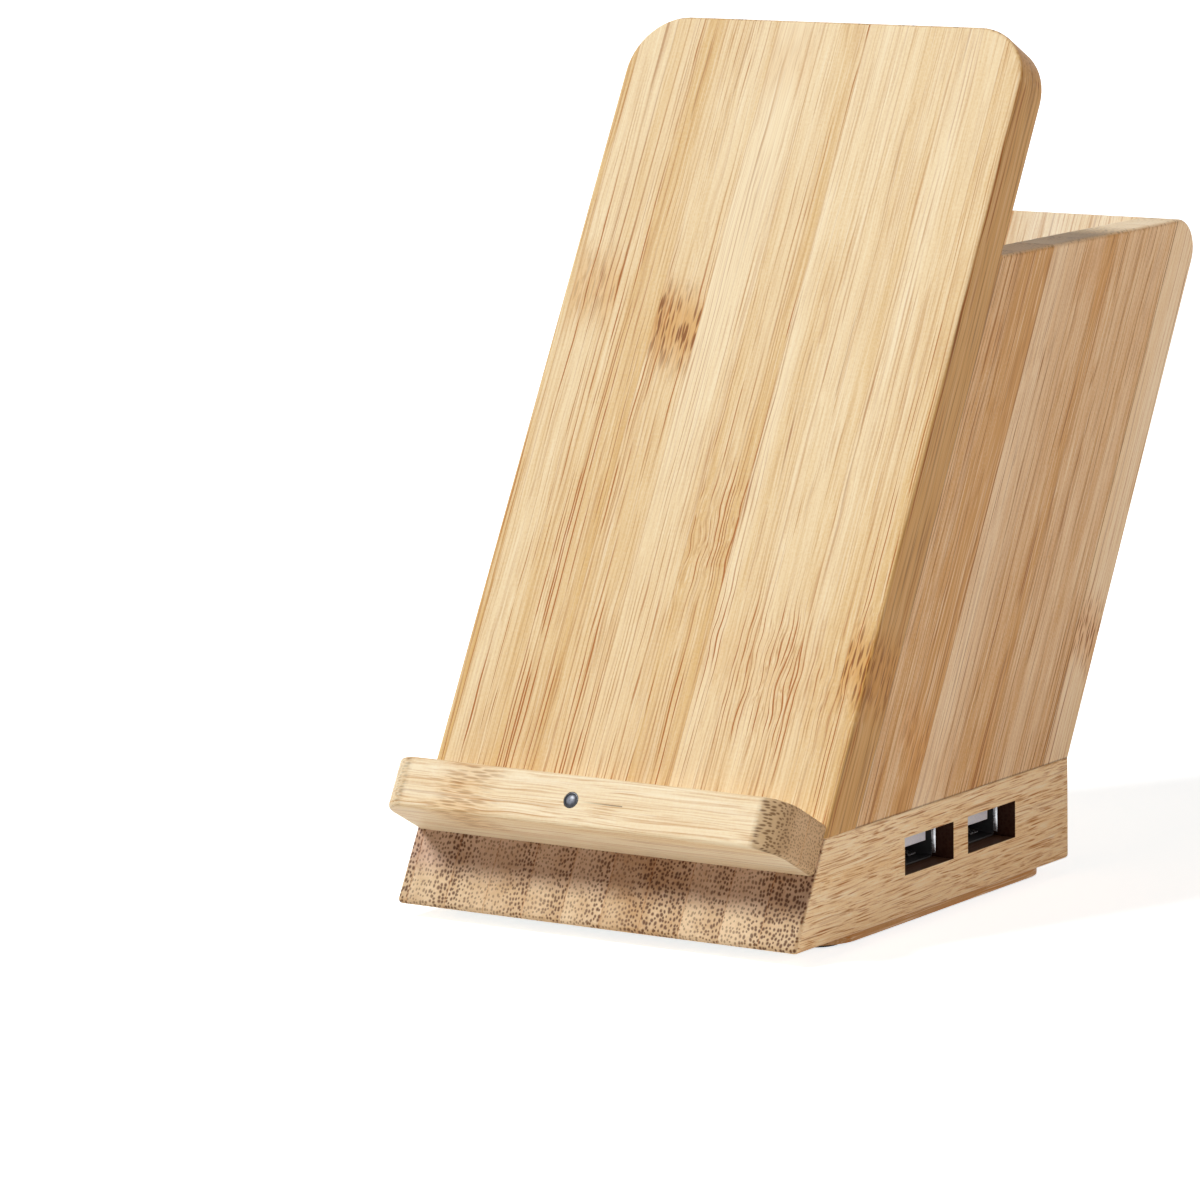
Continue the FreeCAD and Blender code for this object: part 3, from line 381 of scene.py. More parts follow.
slopeShift = (0, -frontEdge * math.cos(tilt) + baseLow * math.sin(tilt),
              -frontEdge * math.sin(tilt) - baseLow * math.cos(tilt))

# strips are (tone, flip), and where given, knuckle place along the grain in mm and its force, how lined and
# how flamed; a flip of 1 has the outside of the culm on the other side, 2 is dense all through
plateCut = {
    "turn": (lean, 0, 0), "shift": slopeShift, "across": "X", "start": -44.4, "width": 8.6,
    "slant": (0.002, 0.007), "flank": 0.6, "fade": 0.13, "sideTint": "#ad8152", "streak": (0.55, 28),
    "look": {"cream": "#f7e2b7", "line": "#b06d26", "lineForce": (0.25, 0.6), "thin": 0.64,
             "richTone": 0.15, "fineShow": 0.35, "reed": "#ad6822", "reedPitch": 0.72, "reedForce": 1.0,
             "knuckle": "#8a5212", "knuckleReach": 10, "blush": "#d69d48", "blushShow": 0.7},
    "strips": [(0.6, 0, 150, 0, 0.7, 0), (0.4, 0, 106, 0.57, 1.1, 0.2), (0.6, 0, 10, 0, 1.4, 0),
               (0.35, 1, 101, 1.0, 1.0, 0), (0.05, 0, 148, 0.25, 0.45, 0), (0.45, 0, 67, 0.15, 1.5, 1.4),
               (0.25, 0, 47, 0.2, 0.35, 0.6), (0.3, 0, 44, 0.22, 0.4, 1.5), (0.35, 0, 43, 0.2, 0.55, 0.8),
               (0.6, 0, 47, 1.0, 1.2, 1.0)],
}
paleEnds = {"endPale": "#f2e0c0", "endTan": "#e6cba0", "dotShow": (0.15, 0.4)}
wallCut = {
    "turn": (lean, 0, 0), "shift": slopeShift, "across": "Y", "start": 4.0, "width": 9.2,
    "slant": (0.007, 0.002), "flank": 0.1, "seams": (7.8, 58.5), "foot": baseHigh,
    "look": dict(paleEnds, cream="#fae6c2", tan="#d6a96c", line="#9d6530", lineForce=(0.4, 0.95)),
    "strips": [(0.4, 0, 106, 0.4), (0.75, 0, 42, 0.6), (0.1, 0, 40, 0.3), (0.5, 0, 128, 0.4), (0.4, 1),
               (0.4, 0), (0.2, 0, 76, 0.8)],
}
rearCut = {
    "turn": (lean, 0, 0), "shift": slopeShift, "across": "X", "start": -41.0, "width": 8.9,
    "slant": (0.002, 0.007), "foot": baseHigh,
    "look": dict(paleEnds, cream="#fff1d2", tan="#ecce9c"),
    "strips": [(0.3, 0), (0.1, 0, 82, 0.6), (0.5, 1), (0.2, 0, 50, 0.7), (0.0, 0), (0.45, 1, 95, 0.6),
               (0.2, 0), (0.35, 0, 62, 0.8), (0.45, 1, 75, 0.85), (0.4, 0)],
}
panelCut = {
    "turn": (lean, 0, 0), "shift": slopeShift, "across": "X", "start": -40.0, "width": 8.4,
    "slant": (0.002, 0.007),
    "strips": [(0.5, 0), (0.3, 1, 120, 0.6), (0.55, 1), (0.4, 0), (0.6, 0, 138, 0.7), (0.35, 1),
               (0.5, 0, 112, 0.5), (0.6, 0), (0.4, 1), (0.5, 0)],
}
baseCut = {
    "turn": (90, 0, 0), "shift": (0, 0, 100), "across": "X", "start": -43.0, "width": 7.35,
    "slant": (0.05, 0.012),
    "socketCutoutTone": {"colour": "#3f2011", "level": socketLevel, "high": 3.4, "along": 107.6, "far": 19.0},
    # painted shade up under the lip, from 6.5 to 9.5 mm high on the front
    "underLipPaintedShade": {"colour": "#ede5f5", "from": 6.5, "to": 9.5},
    "look": {"cream": "#fff0cb", "tan": "#efcb8e", "line": "#b0702c", "vein": "#a0662c",
             "fineRun": 20, "fineShow": 0.95, "endPale": "#e2c7a0", "endTan": "#ba9262",
             "bundle": "#5e391c", "bundleSpacing": 0.64, "bundleFlat": 0.9, "thick": (0.43, 0.56),
             "thin": 0.38, "richTone": 0.2, "lineForce": (0.6, 1.0), "dotShow": (0.56, 0.95)},
    "strips": [(0.2, 0), (0.2, 0), (0.15, 1), (0.25, 0), (0.3, 0), (0.15, 0), (0.6, 0), (0.35, 2),
               (0.15, 0), (0.1, 0), (0.2, 2)],
}
lipCut = {
    "turn": (lean, -90, 0), "shift": (-slopeShift[2], slopeShift[1], 100),
    "across": "Y", "start": -14.0, "width": 9.0, "slant": (0.006, 0.006), "reedAcross": "X", "quietEnd": 64,
    "check": {"colour": "#5d4630", "up": 16.9, "from": 100.5, "to": 108.3},
    "look": {"cream": "#fbebc8", "tan": "#eecf99", "endPale": "#d2b68e", "endTan": "#bb9c6f",
             "bundle": "#664626", "bundleSpacing": 0.53, "thick": (0.45, 0.55), "dotShow": (0.5, 0.85),
             "thin": 0.5, "veinForce": 0.35, "lineForce": (0.15, 0.6), "endFrom": (0.02, 0.22),
             "reed": "#bd8038", "reedPitch": 0.8, "reedForce": 0.7,
             "knuckle": "#9a6424", "blush": "#e0ac62"},
    "strips": [(0.1, 1, 78, 0.64, 0.6, 0.2), (0.25, 0)],
}
# bottom cover: cream and tan darker than the base's, as painted shade where it sits under the base
coverCut = {
    "turn": (90, 0, 0), "shift": (0, 0, 100), "across": "X", "start": -40.0, "width": 8.2,
    "slant": (0.01, 0.01),
    "look": {"cream": "#dab888", "tan": "#b98c58"},
    "strips": [(0.5, 0), (0.4, 1), (0.6, 0), (0.5, 0), (0.4, 0), (0.6, 1), (0.5, 0), (0.4, 0), (0.5, 0)],
}

cover(bamboo("bambooPlate", plateCut), "backrest_plate")
cover(bamboo("bambooWalls", wallCut), "left_wall", "right_wall")
cover(bamboo("bambooRearWall", rearCut), "rear_wall")
cover(bamboo("bambooPanel", panelCut), "coil_panel")
cover(bamboo("bambooBase", baseCut), "base_block")
cover(bamboo("bambooCover", coverCut), "bottom_cover")
cover(bamboo("bambooLip", lipCut), "front_lip")
print("bamboo finished")


# Plain finishes: two close shades in a fine grit, which also gives the bump and varies the gloss.
# The grit is in mm. Names are CAD nodes shown as they are; a finish without names is for pieces below.
plainLook = {
    # turned beech, pale with a fine darker fleck
    "beechDowel": {"names": ("lip_dowels", "plate_dowels", "wall_dowels", "rear_wall_dowels"),
                   "dark": "#b98f5f", "pale": "#d8b889", "grit": 0.6, "rough": 0.6, "bump": 0.3},
    # moulded silicone, near black and dull
    "siliconeRubber": {"dark": "#161616", "pale": "#262626", "grit": 0.25, "rough": 0.8, "bump": 0.4},
    # zinc plated steel, grey with soft glints
    "zincSteel": {"names": ("board_screws",), "dark": "#8c8d90", "pale": "#b4b5b8",
                  "grit": 0.3, "rough": 0.35, "metal": 1, "bump": 0.1},
    # nickel plated sheet, bright and a little hazy
    "nickelSheet": {"dark": "#b3b5b9", "pale": "#d9dbde",
                    "grit": 0.4, "rough": 0.28, "metal": 1, "bump": 0.05},
    # moulded PBT, bluish white with a satin face
    "palePbt": {"dark": "#dde9fb", "pale": "#eef5ff", "grit": 0.3, "rough": 0.45, "bump": 0.1},
    # moulded LCP, black with a satin face
    "blackLcp": {"dark": "#0d0d0f", "pale": "#1b1b1e", "grit": 0.3, "rough": 0.5, "bump": 0.1},
    # near black, put on the inside faces and cut rims of the socket shells as painted shade of the hollow
    "shellInsidePaintedShade": {"dark": "#0b0b0d", "pale": "#17171a", "grit": 0.4, "rough": 0.5, "bump": 0.15},
    # thin gold on stamped brass, warm yellow and glossy
    "goldFlash": {"dark": "#c39a4c", "pale": "#e2bd72",
                  "grit": 0.4, "rough": 0.25, "metal": 1, "bump": 0.05},
    # glass laminate under solder mask, deep green and slightly uneven
    "solderMask": {"names": ("circuit_board",), "dark": "#0b3a20", "pale": "#14522f",
                   "grit": 1.2, "rough": 0.4, "bump": 0.3},
    # moulded epoxy, black with a fine matt grit
    "mouldedEpoxy": {"names": ("hub_chip", "charger_chip"), "dark": "#121214", "pale": "#202022",
                     "grit": 0.15, "rough": 0.55, "bump": 0.3},
    # sintered ferrite, dull charcoal
    "ferrite": {"names": ("ferrite_shield", "power_choke"), "dark": "#1d1d20", "pale": "#2e2e31",
                "grit": 0.35, "rough": 0.7, "bump": 0.4},
    # drawn aluminium, pale grey with soft glints
    "drawnAluminium": {"names": ("capacitors",), "dark": "#a6a8ac", "pale": "#c6c8cc",
                       "grit": 0.5, "rough": 0.35, "metal": 1, "bump": 0.1},
    # moulded nylon, ivory with a satin face
    "headerNylon": {"names": ("coil_header", "indicator_header"), "dark": "#dcd8c8", "pale": "#ebe8dc",
                    "grit": 0.4, "rough": 0.5, "bump": 0.2},
    # enamelled copper strand, copper red with a lacquer's shine
    "enamelledCopper": {"names": ("charge_coil",), "dark": "#8f4a26", "pale": "#c2713f",
                        "grit": 0.5, "rough": 0.35, "metal": 1, "bump": 0.5},
    # extruded PVC, smooth red
    "pvcJacket": {"names": ("coil_leads", "indicator_leads"), "dark": "#9c1512", "pale": "#c02a24",
                  "grit": 0.5, "rough": 0.45, "bump": 0.1},
    # cast clear epoxy, pale bluish and glossy
    "castEpoxy": {"names": ("indicator_lamp",), "dark": "#b9c6dc", "pale": "#d7e0ee",
                  "grit": 0.5, "rough": 0.15, "bump": 0.05},
}


def plainFinish(name, look):
    material, tree = newMaterial(name)
    spot = addNode(tree, "TexCoord").outputs["Object"]
    grit = addNode(tree, "TexNoise", [spot, 1 / (look["grit"] * mm), 3, 0.6])
    share = addNode(tree, "MapRange", [grit, 0.35, 0.65, 0, 1])
    colour = addNode(tree, "Mix", [share, shade(look["dark"]), shade(look["pale"])], **inColour)
    gloss = addNode(tree, "MapRange", [grit, 0.2, 0.8, look["rough"] - 0.07, look["rough"] + 0.07])
    bump = addNode(tree, "Bump", {"Height": grit, "Strength": look["bump"], "Distance": 0.03 * mm})
    surface = addNode(tree, "BsdfPrincipled", {"Base Color": colour, "Roughness": gloss,
                                               "Metallic": look.get("metal", 0), "Normal": bump})
    addNode(tree, "OutputMaterial", [surface])
    return material


finishes = {}
for name, look in plainLook.items():
    finishes[name] = plainFinish(name, look)
    cover(finishes[name], *look.get("names", ()))
print("plain finishes done")


def startPick(kind):
    bpy.ops.object.mode_set(mode="EDIT")
    bpy.ops.mesh.select_mode(type=kind)
    bpy.ops.mesh.select_all(action="DESELECT")
    bpy.ops.object.mode_set(mode="OBJECT")


def pickFaces(piece, test):
    # in edit mode, select the faces whose middle and normal pass the test
    startPick("FACE")
    for face in piece.data.polygons:
        face.select = test(face.center / mm, face.normal)
    bpy.ops.object.mode_set(mode="EDIT")


def pickEdges(piece, test):
    # the same for edges, by their two ends
    startPick("EDGE")
    corners = piece.data.vertices
    for edge in piece.data.edges:
        edge.select = test(corners[edge.vertices[0]].co / mm, corners[edge.vertices[1]].co / mm)
    bpy.ops.object.mode_set(mode="EDIT")


def extrudeBy(*by):
    # push what is picked out of the piece, in mm
    bpy.ops.mesh.extrude_region_move(TRANSFORM_OT_translate={"value": tuple(Vector(by) * mm)})


def addModifier(piece, kind, **settings):
    bpy.context.view_layer.objects.active = piece
    modifier = piece.modifiers.new(kind.lower(), kind)
    for name, setting in settings.items():
        setattr(modifier, name, setting)
    bpy.ops.object.modifier_apply(modifier=modifier.name)


def addBlock(name, low, high):
    # a block between two corners in mm, its place in its mesh
    bpy.ops.object.select_all(action="DESELECT")
    middle = (Vector(low) + Vector(high)) / 2 * mm
    bpy.ops.mesh.primitive_cube_add(size=1, location=middle, scale=(Vector(high) - Vector(low)) * mm)
    bpy.ops.object.transform_apply()
    bpy.context.object.name = name
    return bpy.context.object


def addRound(name, radius, low, high, sides):
    # an upright round bar between two heights in mm, its place in its mesh
    bpy.ops.object.select_all(action="DESELECT")
    bpy.ops.mesh.primitive_cylinder_add(vertices=sides, radius=radius * mm, depth=(high - low) * mm,
                                        location=(0, 0, (low + high) / 2 * mm))
    bpy.ops.object.transform_apply()
    bpy.context.object.name = name
    return bpy.context.object


def joinPieces(name, pieces):
    bpy.ops.object.select_all(action="DESELECT")
    for piece in pieces:
        piece.select_set(True)
    bpy.context.view_layer.objects.active = pieces[0]
    bpy.ops.object.join()
    pieces[0].name = name
    return pieces[0]


def copyPiece(piece, name, turn, move):
    # a copy with its own mesh, turned about the upright and moved, in mm
    bpy.ops.object.select_all(action="DESELECT")
    piece.select_set(True)
    bpy.context.view_layer.objects.active = piece
    bpy.ops.object.duplicate()
    twin = bpy.context.object
    twin.name = name
    twin.rotation_euler = (0, 0, math.radians(turn))
    twin.location = Vector(move) * mm
    bpy.ops.object.transform_apply()
    return twin


def standIn(piece, slotName, *names):
    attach(piece, "root")
    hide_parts(*names)


# Sockets: folded nickel sheet with flared ears at the mouth, painted dark inside as shade, a pale tongue in
# the upper half.
# Each is modelled with its mouth at x = 0 and its middle at the origin, then copied to its place.
socketSpec = {
    "mouth": 34.1, "ends": {"front": -2.1, "rear": 17.25},
    "width": 13.1, "height": 5.7, "length": 14.0, "corner": 0.7, "sheet": 0.3, "rim": 0.05,
    "ears": ((0.15, 0.08), (0.15, 0.045), (0.15, 0.105)),    # three bends, each so far out and aside
    "springFrom": -9.0, "springTo": -1.6, "springWidth": 2.2, "springThick": 0.2, "springPlace": 3.0,
    "springRise": 0.7,
    "tongueWidth": 10.2, "tongueHigh": 1.9, "tongueSetback": 0.3, "tongueEnd": -12.8, "tongueEdge": 0.22,
    "pocketIn": 0.7, "pocketDeep": 0.15,
    "contacts": 4, "contactPitch": 2.3, "contactWidth": 1.0, "contactThick": 0.2, "contactSetback": 1.5,
    "contactTip": 0.5, "contactBend": 0.12, "contactEdge": 0.06,
}


def socketShell(name, spec):
    half = spec["width"] / 2
    top = spec["height"] / 2
    shell = addBlock(name, (-spec["length"], -half, -top), (0, half, top))
    pickFaces(shell, lambda middle, normal: normal.x > 0.9)
    bpy.ops.mesh.delete(type="ONLY_FACE")
    pickEdges(shell, lambda a, b: abs(a.x - b.x) > 1)
    bpy.ops.mesh.bevel(offset=spec["corner"] * mm, segments=5)
    for sign in (-1, 1):    # the side ears bend outwards at the mouth
        pickEdges(shell, lambda a, b: min(a.x, b.x) > -near and min(a.y * sign, b.y * sign) > half - near
                  and abs(a.z - b.z) > 1)
        for out, aside in spec["ears"]:
            bpy.ops.mesh.extrude_edges_move(
                TRANSFORM_OT_translate={"value": (out * mm, aside * sign * mm, 0)})
    bpy.ops.object.mode_set(mode="OBJECT")
    shell.data.materials.append(finishes["nickelSheet"])
    shell.data.materials.append(finishes["shellInsidePaintedShade"])
    # the inside faces and the cut rim take the painted shade finish
    addModifier(shell, "SOLIDIFY", thickness=spec["sheet"] * mm, offset=-1, material_offset=1,
                material_offset_rim=1)
    for face in shell.data.polygons:
        if face.center.x / mm > 2 * near:
            face.material_index = 0    # the ears are bare sheet on both sides
    addModifier(shell, "BEVEL", width=spec["rim"] * mm, segments=2, limit_method="ANGLE")
    bpy.ops.object.shade_smooth_by_angle(angle=math.radians(35))
    return shell


def socketSpring(spec, side):
    # a leaf pressed up from the floor of the shell
    low = -spec["height"] / 2 + spec["sheet"]
    place = side * spec["springPlace"]
    leaf = addBlock("leaf", (spec["springFrom"], place - spec["springWidth"] / 2, low),
                    (spec["springTo"], place + spec["springWidth"] / 2, low + spec["springThick"]))
    pickEdges(leaf, lambda a, b: abs(a.x - b.x) > 1)
    bpy.ops.mesh.subdivide(number_cuts=3)
    bpy.ops.mesh.select_mode(type="VERT")
    bpy.ops.object.mode_set(mode="OBJECT")
    run = spec["springTo"] - spec["springFrom"]
    for corner in leaf.data.vertices:
        share = (corner.co.x / mm - spec["springFrom"]) / run
        corner.co.z += spec["springRise"] * mm * math.sin(share * math.pi * 0.75)
    leaf.data.materials.append(finishes["nickelSheet"])
    bpy.ops.object.shade_smooth_by_angle(angle=math.radians(40))
    return leaf


def socketTongue(name, spec):
    half = spec["tongueWidth"] / 2
    front = -spec["tongueSetback"]
    tongue = addBlock(name, (spec["tongueEnd"], -half, 0), (front, half, spec["tongueHigh"]))
    pickEdges(tongue, lambda a, b: min(a.x, b.x) > front - near)
    bpy.ops.mesh.bevel(offset=spec["tongueEdge"] * mm, segments=3)
    pickFaces(tongue, lambda middle, normal: normal.z > 0.9)    # a shallow pocket from the mould
    bpy.ops.mesh.inset(thickness=spec["pocketIn"] * mm)
    extrudeBy(0, 0, -spec["pocketDeep"])
    bpy.ops.object.mode_set(mode="OBJECT")
    tongue.data.materials.append(finishes["palePbt"])
    bpy.ops.object.shade_smooth_by_angle(angle=math.radians(35))
    return tongue


def socketContacts(name, spec):
    # strips under the tongue, their ends bent up into it
    strips = []
    for i in range(spec["contacts"]):
        middle = (i - (spec["contacts"] - 1) / 2) * spec["contactPitch"]
        half = spec["contactWidth"] / 2
        strip = addBlock("contact", (spec["tongueEnd"], middle - half, -spec["contactThick"]),
                         (-spec["contactSetback"], middle + half, 0))
        pickFaces(strip, lambda middle, normal: normal.x > 0.9)
        extrudeBy(spec["contactTip"], 0, spec["contactBend"])
        pickEdges(strip, lambda a, b: abs(a.x - b.x) > 0.1 and max(a.z, b.z) < -near)
        bpy.ops.mesh.bevel(offset=spec["contactEdge"] * mm, segments=2)
        bpy.ops.object.mode_set(mode="OBJECT")
        strip.data.materials.append(finishes["goldFlash"])
        strips.append(strip)
    return joinPieces(name, strips)


firstShell = socketShell("shell", socketSpec)
firstShell = joinPieces("shell", [firstShell, socketSpring(socketSpec, -1), socketSpring(socketSpec, 1)])
firstTongue = socketTongue("tongue", socketSpec)
firstContacts = socketContacts("contacts", socketSpec)
socketParts = (
    (firstShell, "usbShell_", "socket_steel", "usb_shell_"),
    (firstTongue, "usbTongue_", "socket_plastic", "usb_tongue_"),
    (firstContacts, "usbContacts_", "contact_brass", "usb_contacts_"),
)
for side, sign, turn in (("left", -1, 180), ("right", 1, 0)):
    for end, back in socketSpec["ends"].items():
        place = side + "_" + end
        spot = (sign * socketSpec["mouth"], back, socketLevel)
        for first, name, slotName, node in socketParts:
            standIn(copyPiece(first, name + place, turn, spot), slotName, node + place)
for first in (firstShell, firstTongue, firstContacts):
    bpy.data.objects.remove(first)

# Inlet: the same sheet, drawn to a flat oval without ears
inletSpec = {"mouth": 34.2, "level": 10.48, "width": 8.9, "height": 3.2, "length": 7.4, "corner": 1.5,
             "sheet": 0.3, "rim": 0.05, "ears": ()}
firstInlet = socketShell("inlet", inletSpec)
inletShell = copyPiece(firstInlet, "inletShell", 90, (0, inletSpec["mouth"], inletSpec["level"]))
standIn(inletShell, "socket_steel", "inlet_shell")
bpy.data.objects.remove(firstInlet)

# its tongue: a thin black blade with a rounded nose and a row of contacts on each side
bladeSpec = {"width": 6.6, "thick": 0.7, "from": 28.0, "to": 33.9, "nose": 0.2, "contacts": 6,
             "pitch": 0.95, "contactWidth": 0.4, "contactTo": 33.2, "contactEdge": 0.03,
             "proud": 0.03, "sunk": 0.1}
halfBlade = bladeSpec["thick"] / 2
blade = addBlock("blade", (-bladeSpec["width"] / 2, bladeSpec["from"], inletSpec["level"] - halfBlade),
                 (bladeSpec["width"] / 2, bladeSpec["to"], inletSpec["level"] + halfBlade))
pickEdges(blade, lambda a, b: min(a.y, b.y) > bladeSpec["to"] - near)
bpy.ops.mesh.bevel(offset=bladeSpec["nose"] * mm, segments=3)
bpy.ops.object.mode_set(mode="OBJECT")
blade.data.materials.append(finishes["blackLcp"])
bladeParts = [blade]
for i in range(bladeSpec["contacts"]):
    middle = (i - (bladeSpec["contacts"] - 1) / 2) * bladeSpec["pitch"]
    half = bladeSpec["contactWidth"] / 2
    for side in (-1, 1):
        inner = inletSpec["level"] + side * (halfBlade - bladeSpec["sunk"])
        outer = inletSpec["level"] + side * (halfBlade + bladeSpec["proud"])
        strip = addBlock("strip", (middle - half, bladeSpec["from"], min(inner, outer)),
                         (middle + half, bladeSpec["contactTo"], max(inner, outer)))
        addModifier(strip, "BEVEL", width=bladeSpec["contactEdge"] * mm, segments=2)
        strip.data.materials.append(finishes["goldFlash"])
        bladeParts.append(strip)
standIn(joinPieces("inletTongue", bladeParts), "inlet_plastic", "inlet_tongue")
print("sockets modelled")

# Indicator: a small lens with a raised rim and a shallow dome, in the front of the lip
lensSpec = {"across": -1.3, "up": 17.0, "out": 12.7, "radius": 1.3, "deep": 3.0, "rim": 0.2, "groove": 0.12,
            "edge": 0.08, "rise": ((0.3, 0.14), (0.3, 0.06), (0.25, 0.02)),
            "smoke": "#24252a", "lit": "#9aa0ae", "litReach": (0.35, 1.1), "haze": 0.5}
lensFace = slopePoint(lensSpec["across"], lensSpec["up"], lensSpec["out"])
# smoked acrylic, moulded: dark and glossy, with a paler middle where the lamp sits
lensPlastic, tree = newMaterial("smokedAcrylic")
spot = addNode(tree, "TexCoord").outputs["Object"]
offset = addNode(tree, "VectorMath", [spot, lensFace], operation="DISTANCE")
litFrom, litTo = [reach * mm for reach in lensSpec["litReach"]]
middle = addNode(tree, "MapRange", [offset.outputs["Value"], litFrom, litTo, 1, 0], **smooth)
haze = addNode(tree, "TexNoise", [spot, 1 / (lensSpec["haze"] * mm), 2, 0.5])
mixed = addNode(tree, "Math", [middle, haze], operation="MULTIPLY")
colour = addNode(tree, "Mix", [mixed, shade(lensSpec["smoke"]), shade(lensSpec["lit"])], **inColour)
gloss = addNode(tree, "MapRange", [haze, 0.3, 0.7, 0.24, 0.36])
surface = addNode(tree, "BsdfPrincipled", {"Base Color": colour, "Roughness": gloss, "IOR": 1.49})
addNode(tree, "OutputMaterial", [surface])

lens = addRound("indicatorLens", lensSpec["radius"], -lensSpec["deep"], 0, 48)
pickFaces(lens, lambda middle, normal: normal.z > 0.9)
bpy.ops.mesh.inset(thickness=lensSpec["rim"] * mm)
extrudeBy(0, 0, -lensSpec["groove"])
for inward, rise in lensSpec["rise"]:
    bpy.ops.mesh.inset(thickness=inward * mm)
    bpy.ops.transform.translate(value=(0, 0, rise * mm))
outside = lensSpec["radius"] - lensSpec["rim"] / 4
pickEdges(lens, lambda a, b: min(a.z, b.z) > -near and min(a.xy.length, b.xy.length) > outside)
bpy.ops.mesh.bevel(offset=lensSpec["edge"] * mm, segments=3)
bpy.ops.object.mode_set(mode="OBJECT")
lens.rotation_euler = (math.pi / 2 - tilt, 0, 0)
lens.location = lensFace
bpy.ops.object.transform_apply()
bpy.ops.object.shade_smooth_by_angle(angle=math.radians(40))
lens.data.materials.append(lensPlastic)
standIn(lens, "lens_plastic", "indicator_lens")
print("lens modelled")

# Feet: soft round pads with a raised ring and a rounded edge
footSpec = {"radius": 4.0, "high": 1.2, "edge": 0.35, "ring": 1.0, "dish": 0.25,
            "sides": (-30.0, 30.0), "ends": (-24.0, 34.0)}
firstFoot = addRound("foot", footSpec["radius"], 0, footSpec["high"], 48)
pickFaces(firstFoot, lambda middle, normal: normal.z < -0.9)
bpy.ops.mesh.inset(thickness=footSpec["ring"] * mm)
extrudeBy(0, 0, footSpec["dish"])
outside = footSpec["radius"] - footSpec["ring"] / 10
pickEdges(firstFoot, lambda a, b: min(a.xy.length, b.xy.length) > outside and abs(a.z - b.z) < near)
bpy.ops.mesh.bevel(offset=footSpec["edge"] * mm, segments=4)
bpy.ops.object.mode_set(mode="OBJECT")
bpy.ops.object.shade_smooth_by_angle(angle=math.radians(40))
firstFoot.data.materials.append(finishes["siliconeRubber"])
feet = []
for side in footSpec["sides"]:
    for end in footSpec["ends"]:
        feet.append(copyPiece(firstFoot, "foot", 0, (side, end, 0)))
standIn(joinPieces("rubberFeet", feet), "foot_rubber", "rubber_feet")
bpy.data.objects.remove(firstFoot)
print("feet modelled")

# Cover screws: sunk heads with a cross recess, flush with the cover, a plain shank and a blunt point
screwSpec = {"head": 1.9, "headHigh": 1.2, "shank": 0.95, "long": 8.0, "point": 1.2, "blunt": 0.4,
             "edge": 0.08, "cross": 2.4, "crossWide": 0.55, "crossDeep": 0.7, "crossFoot": 0.6,
             "crossOver": 0.2, "turn": 30}
firstScrew = addRound("screw", screwSpec["head"], 0, screwSpec["headHigh"], 40)
pickFaces(firstScrew, lambda middle, normal: normal.z > 0.9)
taper = screwSpec["shank"] / screwSpec["head"]
bpy.ops.transform.resize(value=(taper, taper, 1), center_override=(0, 0, 0))
straight = screwSpec["long"] - screwSpec["headHigh"] - screwSpec["point"]
extrudeBy(0, 0, straight)
extrudeBy(0, 0, screwSpec["point"])
bpy.ops.transform.resize(value=(screwSpec["blunt"], screwSpec["blunt"], 1), center_override=(0, 0, 0))
pickEdges(firstScrew, lambda a, b: max(abs(a.z), abs(b.z)) < near)
bpy.ops.mesh.bevel(offset=screwSpec["edge"] * mm, segments=2)
bpy.ops.object.mode_set(mode="OBJECT")
firstScrew.data.materials.append(finishes["zincSteel"])
for turn in (0, 90):    # two wedges cut the cross
    long, wide = screwSpec["cross"] / 2, screwSpec["crossWide"] / 2
    wedge = addBlock("wedge", (-long, -wide, -screwSpec["crossOver"]), (long, wide, screwSpec["crossDeep"]))
    pickFaces(wedge, lambda middle, normal: normal.z > 0.9)
    narrow = screwSpec["crossFoot"]
    bpy.ops.transform.resize(value=(narrow, narrow, 1), center_override=(0, 0, 0))
    bpy.ops.object.mode_set(mode="OBJECT")
    turned = copyPiece(wedge, "wedgeTurned", turn, (0, 0, 0))
    addModifier(firstScrew, "BOOLEAN", object=turned, operation="DIFFERENCE", solver="EXACT")
    bpy.data.objects.remove(wedge)
    bpy.data.objects.remove(turned)
bpy.ops.object.select_all(action="DESELECT")
firstScrew.select_set(True)
bpy.context.view_layer.objects.active = firstScrew
bpy.ops.object.shade_smooth_by_angle(angle=math.radians(30))
screwLow, screwHigh = [Vector(corner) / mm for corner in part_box("cover_screws")]
screws = []
for side in (screwLow.x + screwSpec["head"], screwHigh.x - screwSpec["head"]):
    for end in (screwLow.y + screwSpec["head"], screwHigh.y - screwSpec["head"]):
        turn = screwSpec["turn"] * len(screws)
        screws.append(copyPiece(firstScrew, "screw", turn, (side, end, screwLow.z)))
standIn(joinPieces("coverScrews", screws), "screw_steel", "cover_screws")
bpy.data.objects.remove(firstScrew)
print("screws modelled")


# White studio: a plain floor that keeps the shadow, soft key from the left, a weak warm lamp from the right
studio = {
    "floorSize": 8.0, "floor": "#f7f4f2", "floorGlow": 0.8, "glow": "#f6fcff",
    "fill": "#ffeee2", "fillForce": 0.1, "background": "#ffffff",
}
lamps = {
    "softKey": {"from": (-0.437, -0.495, 0.752), "force": 2.86, "angle": 15, "colour": "#f7faff"},
    "warmSide": {"from": (0.95, 0.12, 0.22), "force": 0.99, "angle": 45, "colour": "#ffe0cc"},
}


def seenByEye(tree):
    # 1 where the eye looks at it, also in a reflection or through something clear
    rays = addNode(tree, "LightPath")
    kinds = [rays.outputs["Is %s Ray" % kind] for kind in ("Camera", "Glossy", "Transmission")]
    seen = addNode(tree, "Math", kinds[:2], operation="ADD")
    return addNode(tree, "Math", [seen, kinds[2]], operation="ADD", use_clamp=True)


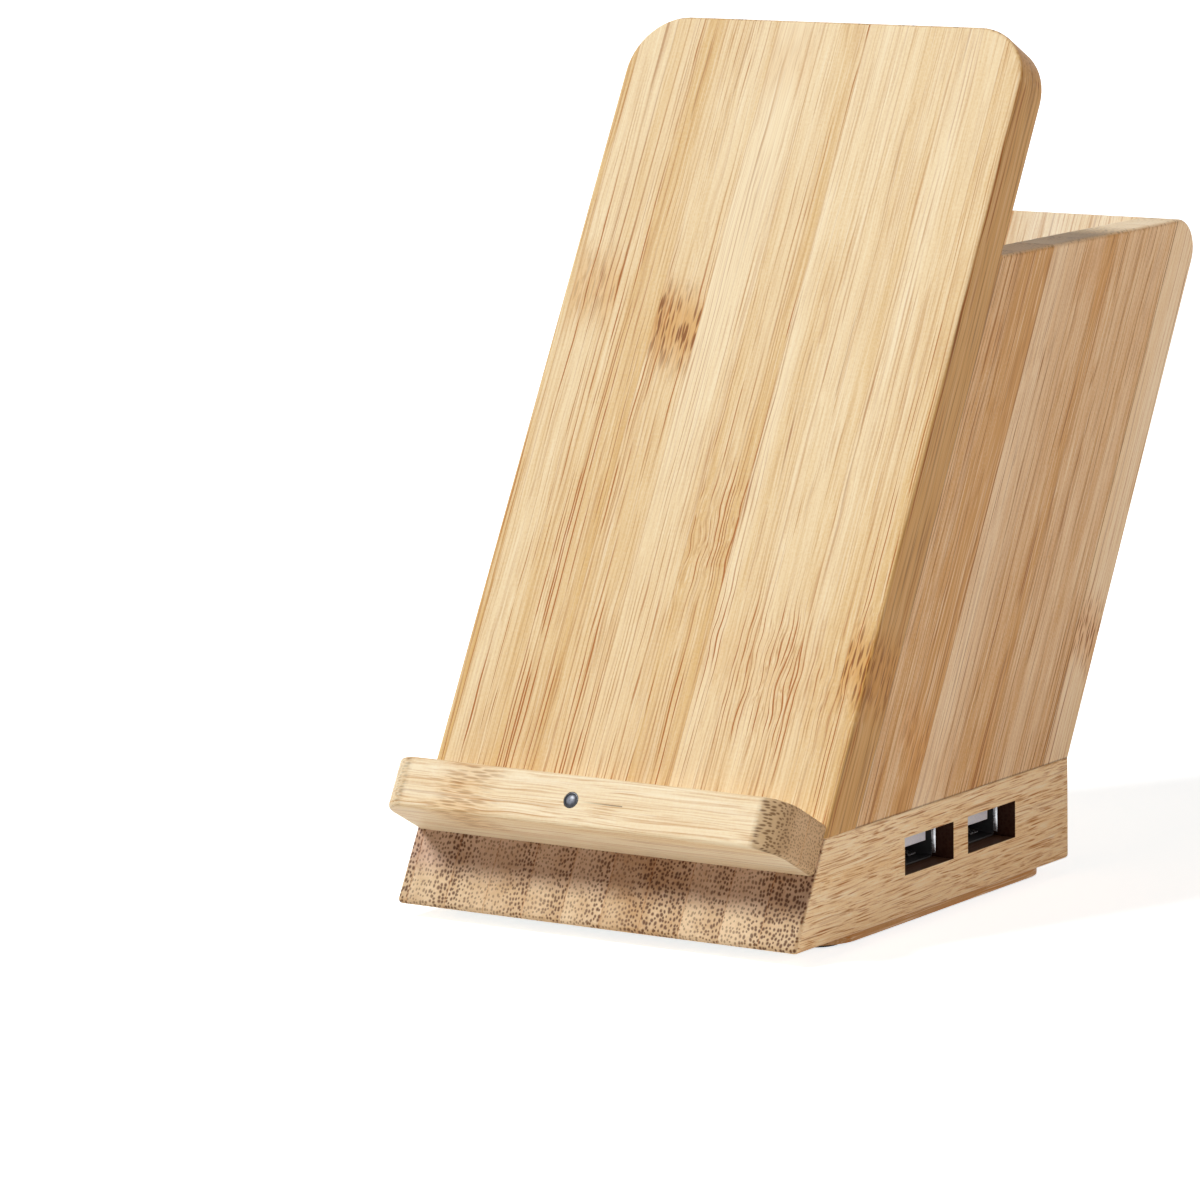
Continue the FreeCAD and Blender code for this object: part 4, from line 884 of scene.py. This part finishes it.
bpy.ops.mesh.primitive_plane_add(size=studio["floorSize"], location=(0, 0, 0))
floor = bpy.context.object
floor.name = "studioFloor"
bpy.ops.object.mode_set(mode="EDIT")
bpy.ops.mesh.subdivide(number_cuts=3)
bpy.ops.object.mode_set(mode="OBJECT")
# uncoated paper, matt white; it glows for the eye, so only the shadow is greyer than the background
floorPaper, tree = newMaterial("whitePaper")
strength = addNode(tree, "Math", [seenByEye(tree), studio["floorGlow"]], operation="MULTIPLY")
glow = addNode(tree, "Emission", {"Color": shade(studio["glow"]), "Strength": strength})
paper = addNode(tree, "BsdfDiffuse", {"Color": shade(studio["floor"])})
surface = addNode(tree, "AddShader", [paper, glow])
addNode(tree, "OutputMaterial", [surface])
floor.data.materials.append(floorPaper)

scene = bpy.context.scene
world = scene.world or bpy.data.worlds.new("studio")
scene.world = world
world.use_nodes = True
tree = world.node_tree
tree.nodes.clear()
fill = addNode(tree, "Background", [shade(studio["fill"]), studio["fillForce"]])
white = addNode(tree, "Background", [shade(studio["background"]), 1.0])
around = addNode(tree, "MixShader", [seenByEye(tree), fill, white])
addNode(tree, "OutputWorld", [around])

for name, lamp in lamps.items():
    start = Vector(lamp["from"])
    bpy.ops.object.light_add(type="SUN", location=start, rotation=start.to_track_quat("Z", "Y").to_euler())
    light = bpy.context.object
    light.name = name
    light.data.energy = lamp["force"]
    light.data.angle = math.radians(lamp["angle"])
    light.data.color = shade(lamp["colour"])[:3]

view = {"spot": (0.54617, -0.84794, 0.21786), "yaw": 34.002, "pitch": 9.539, "roll": -0.856, "lens": 191.57,
        "sensor": 36}
turn = Matrix.Identity(3)
for angle, axis in ((view["yaw"], "Z"), (90 - view["pitch"], "X"), (view["roll"], "Z")):
    turn = turn @ Matrix.Rotation(math.radians(angle), 3, axis)
bpy.ops.object.camera_add(location=view["spot"], rotation=turn.to_euler())
camera = bpy.context.object
camera.data.sensor_width = view["sensor"]
camera.data.lens = view["lens"]
scene.camera = camera
scene.view_settings.view_transform = "Standard"
print("studio and camera set")
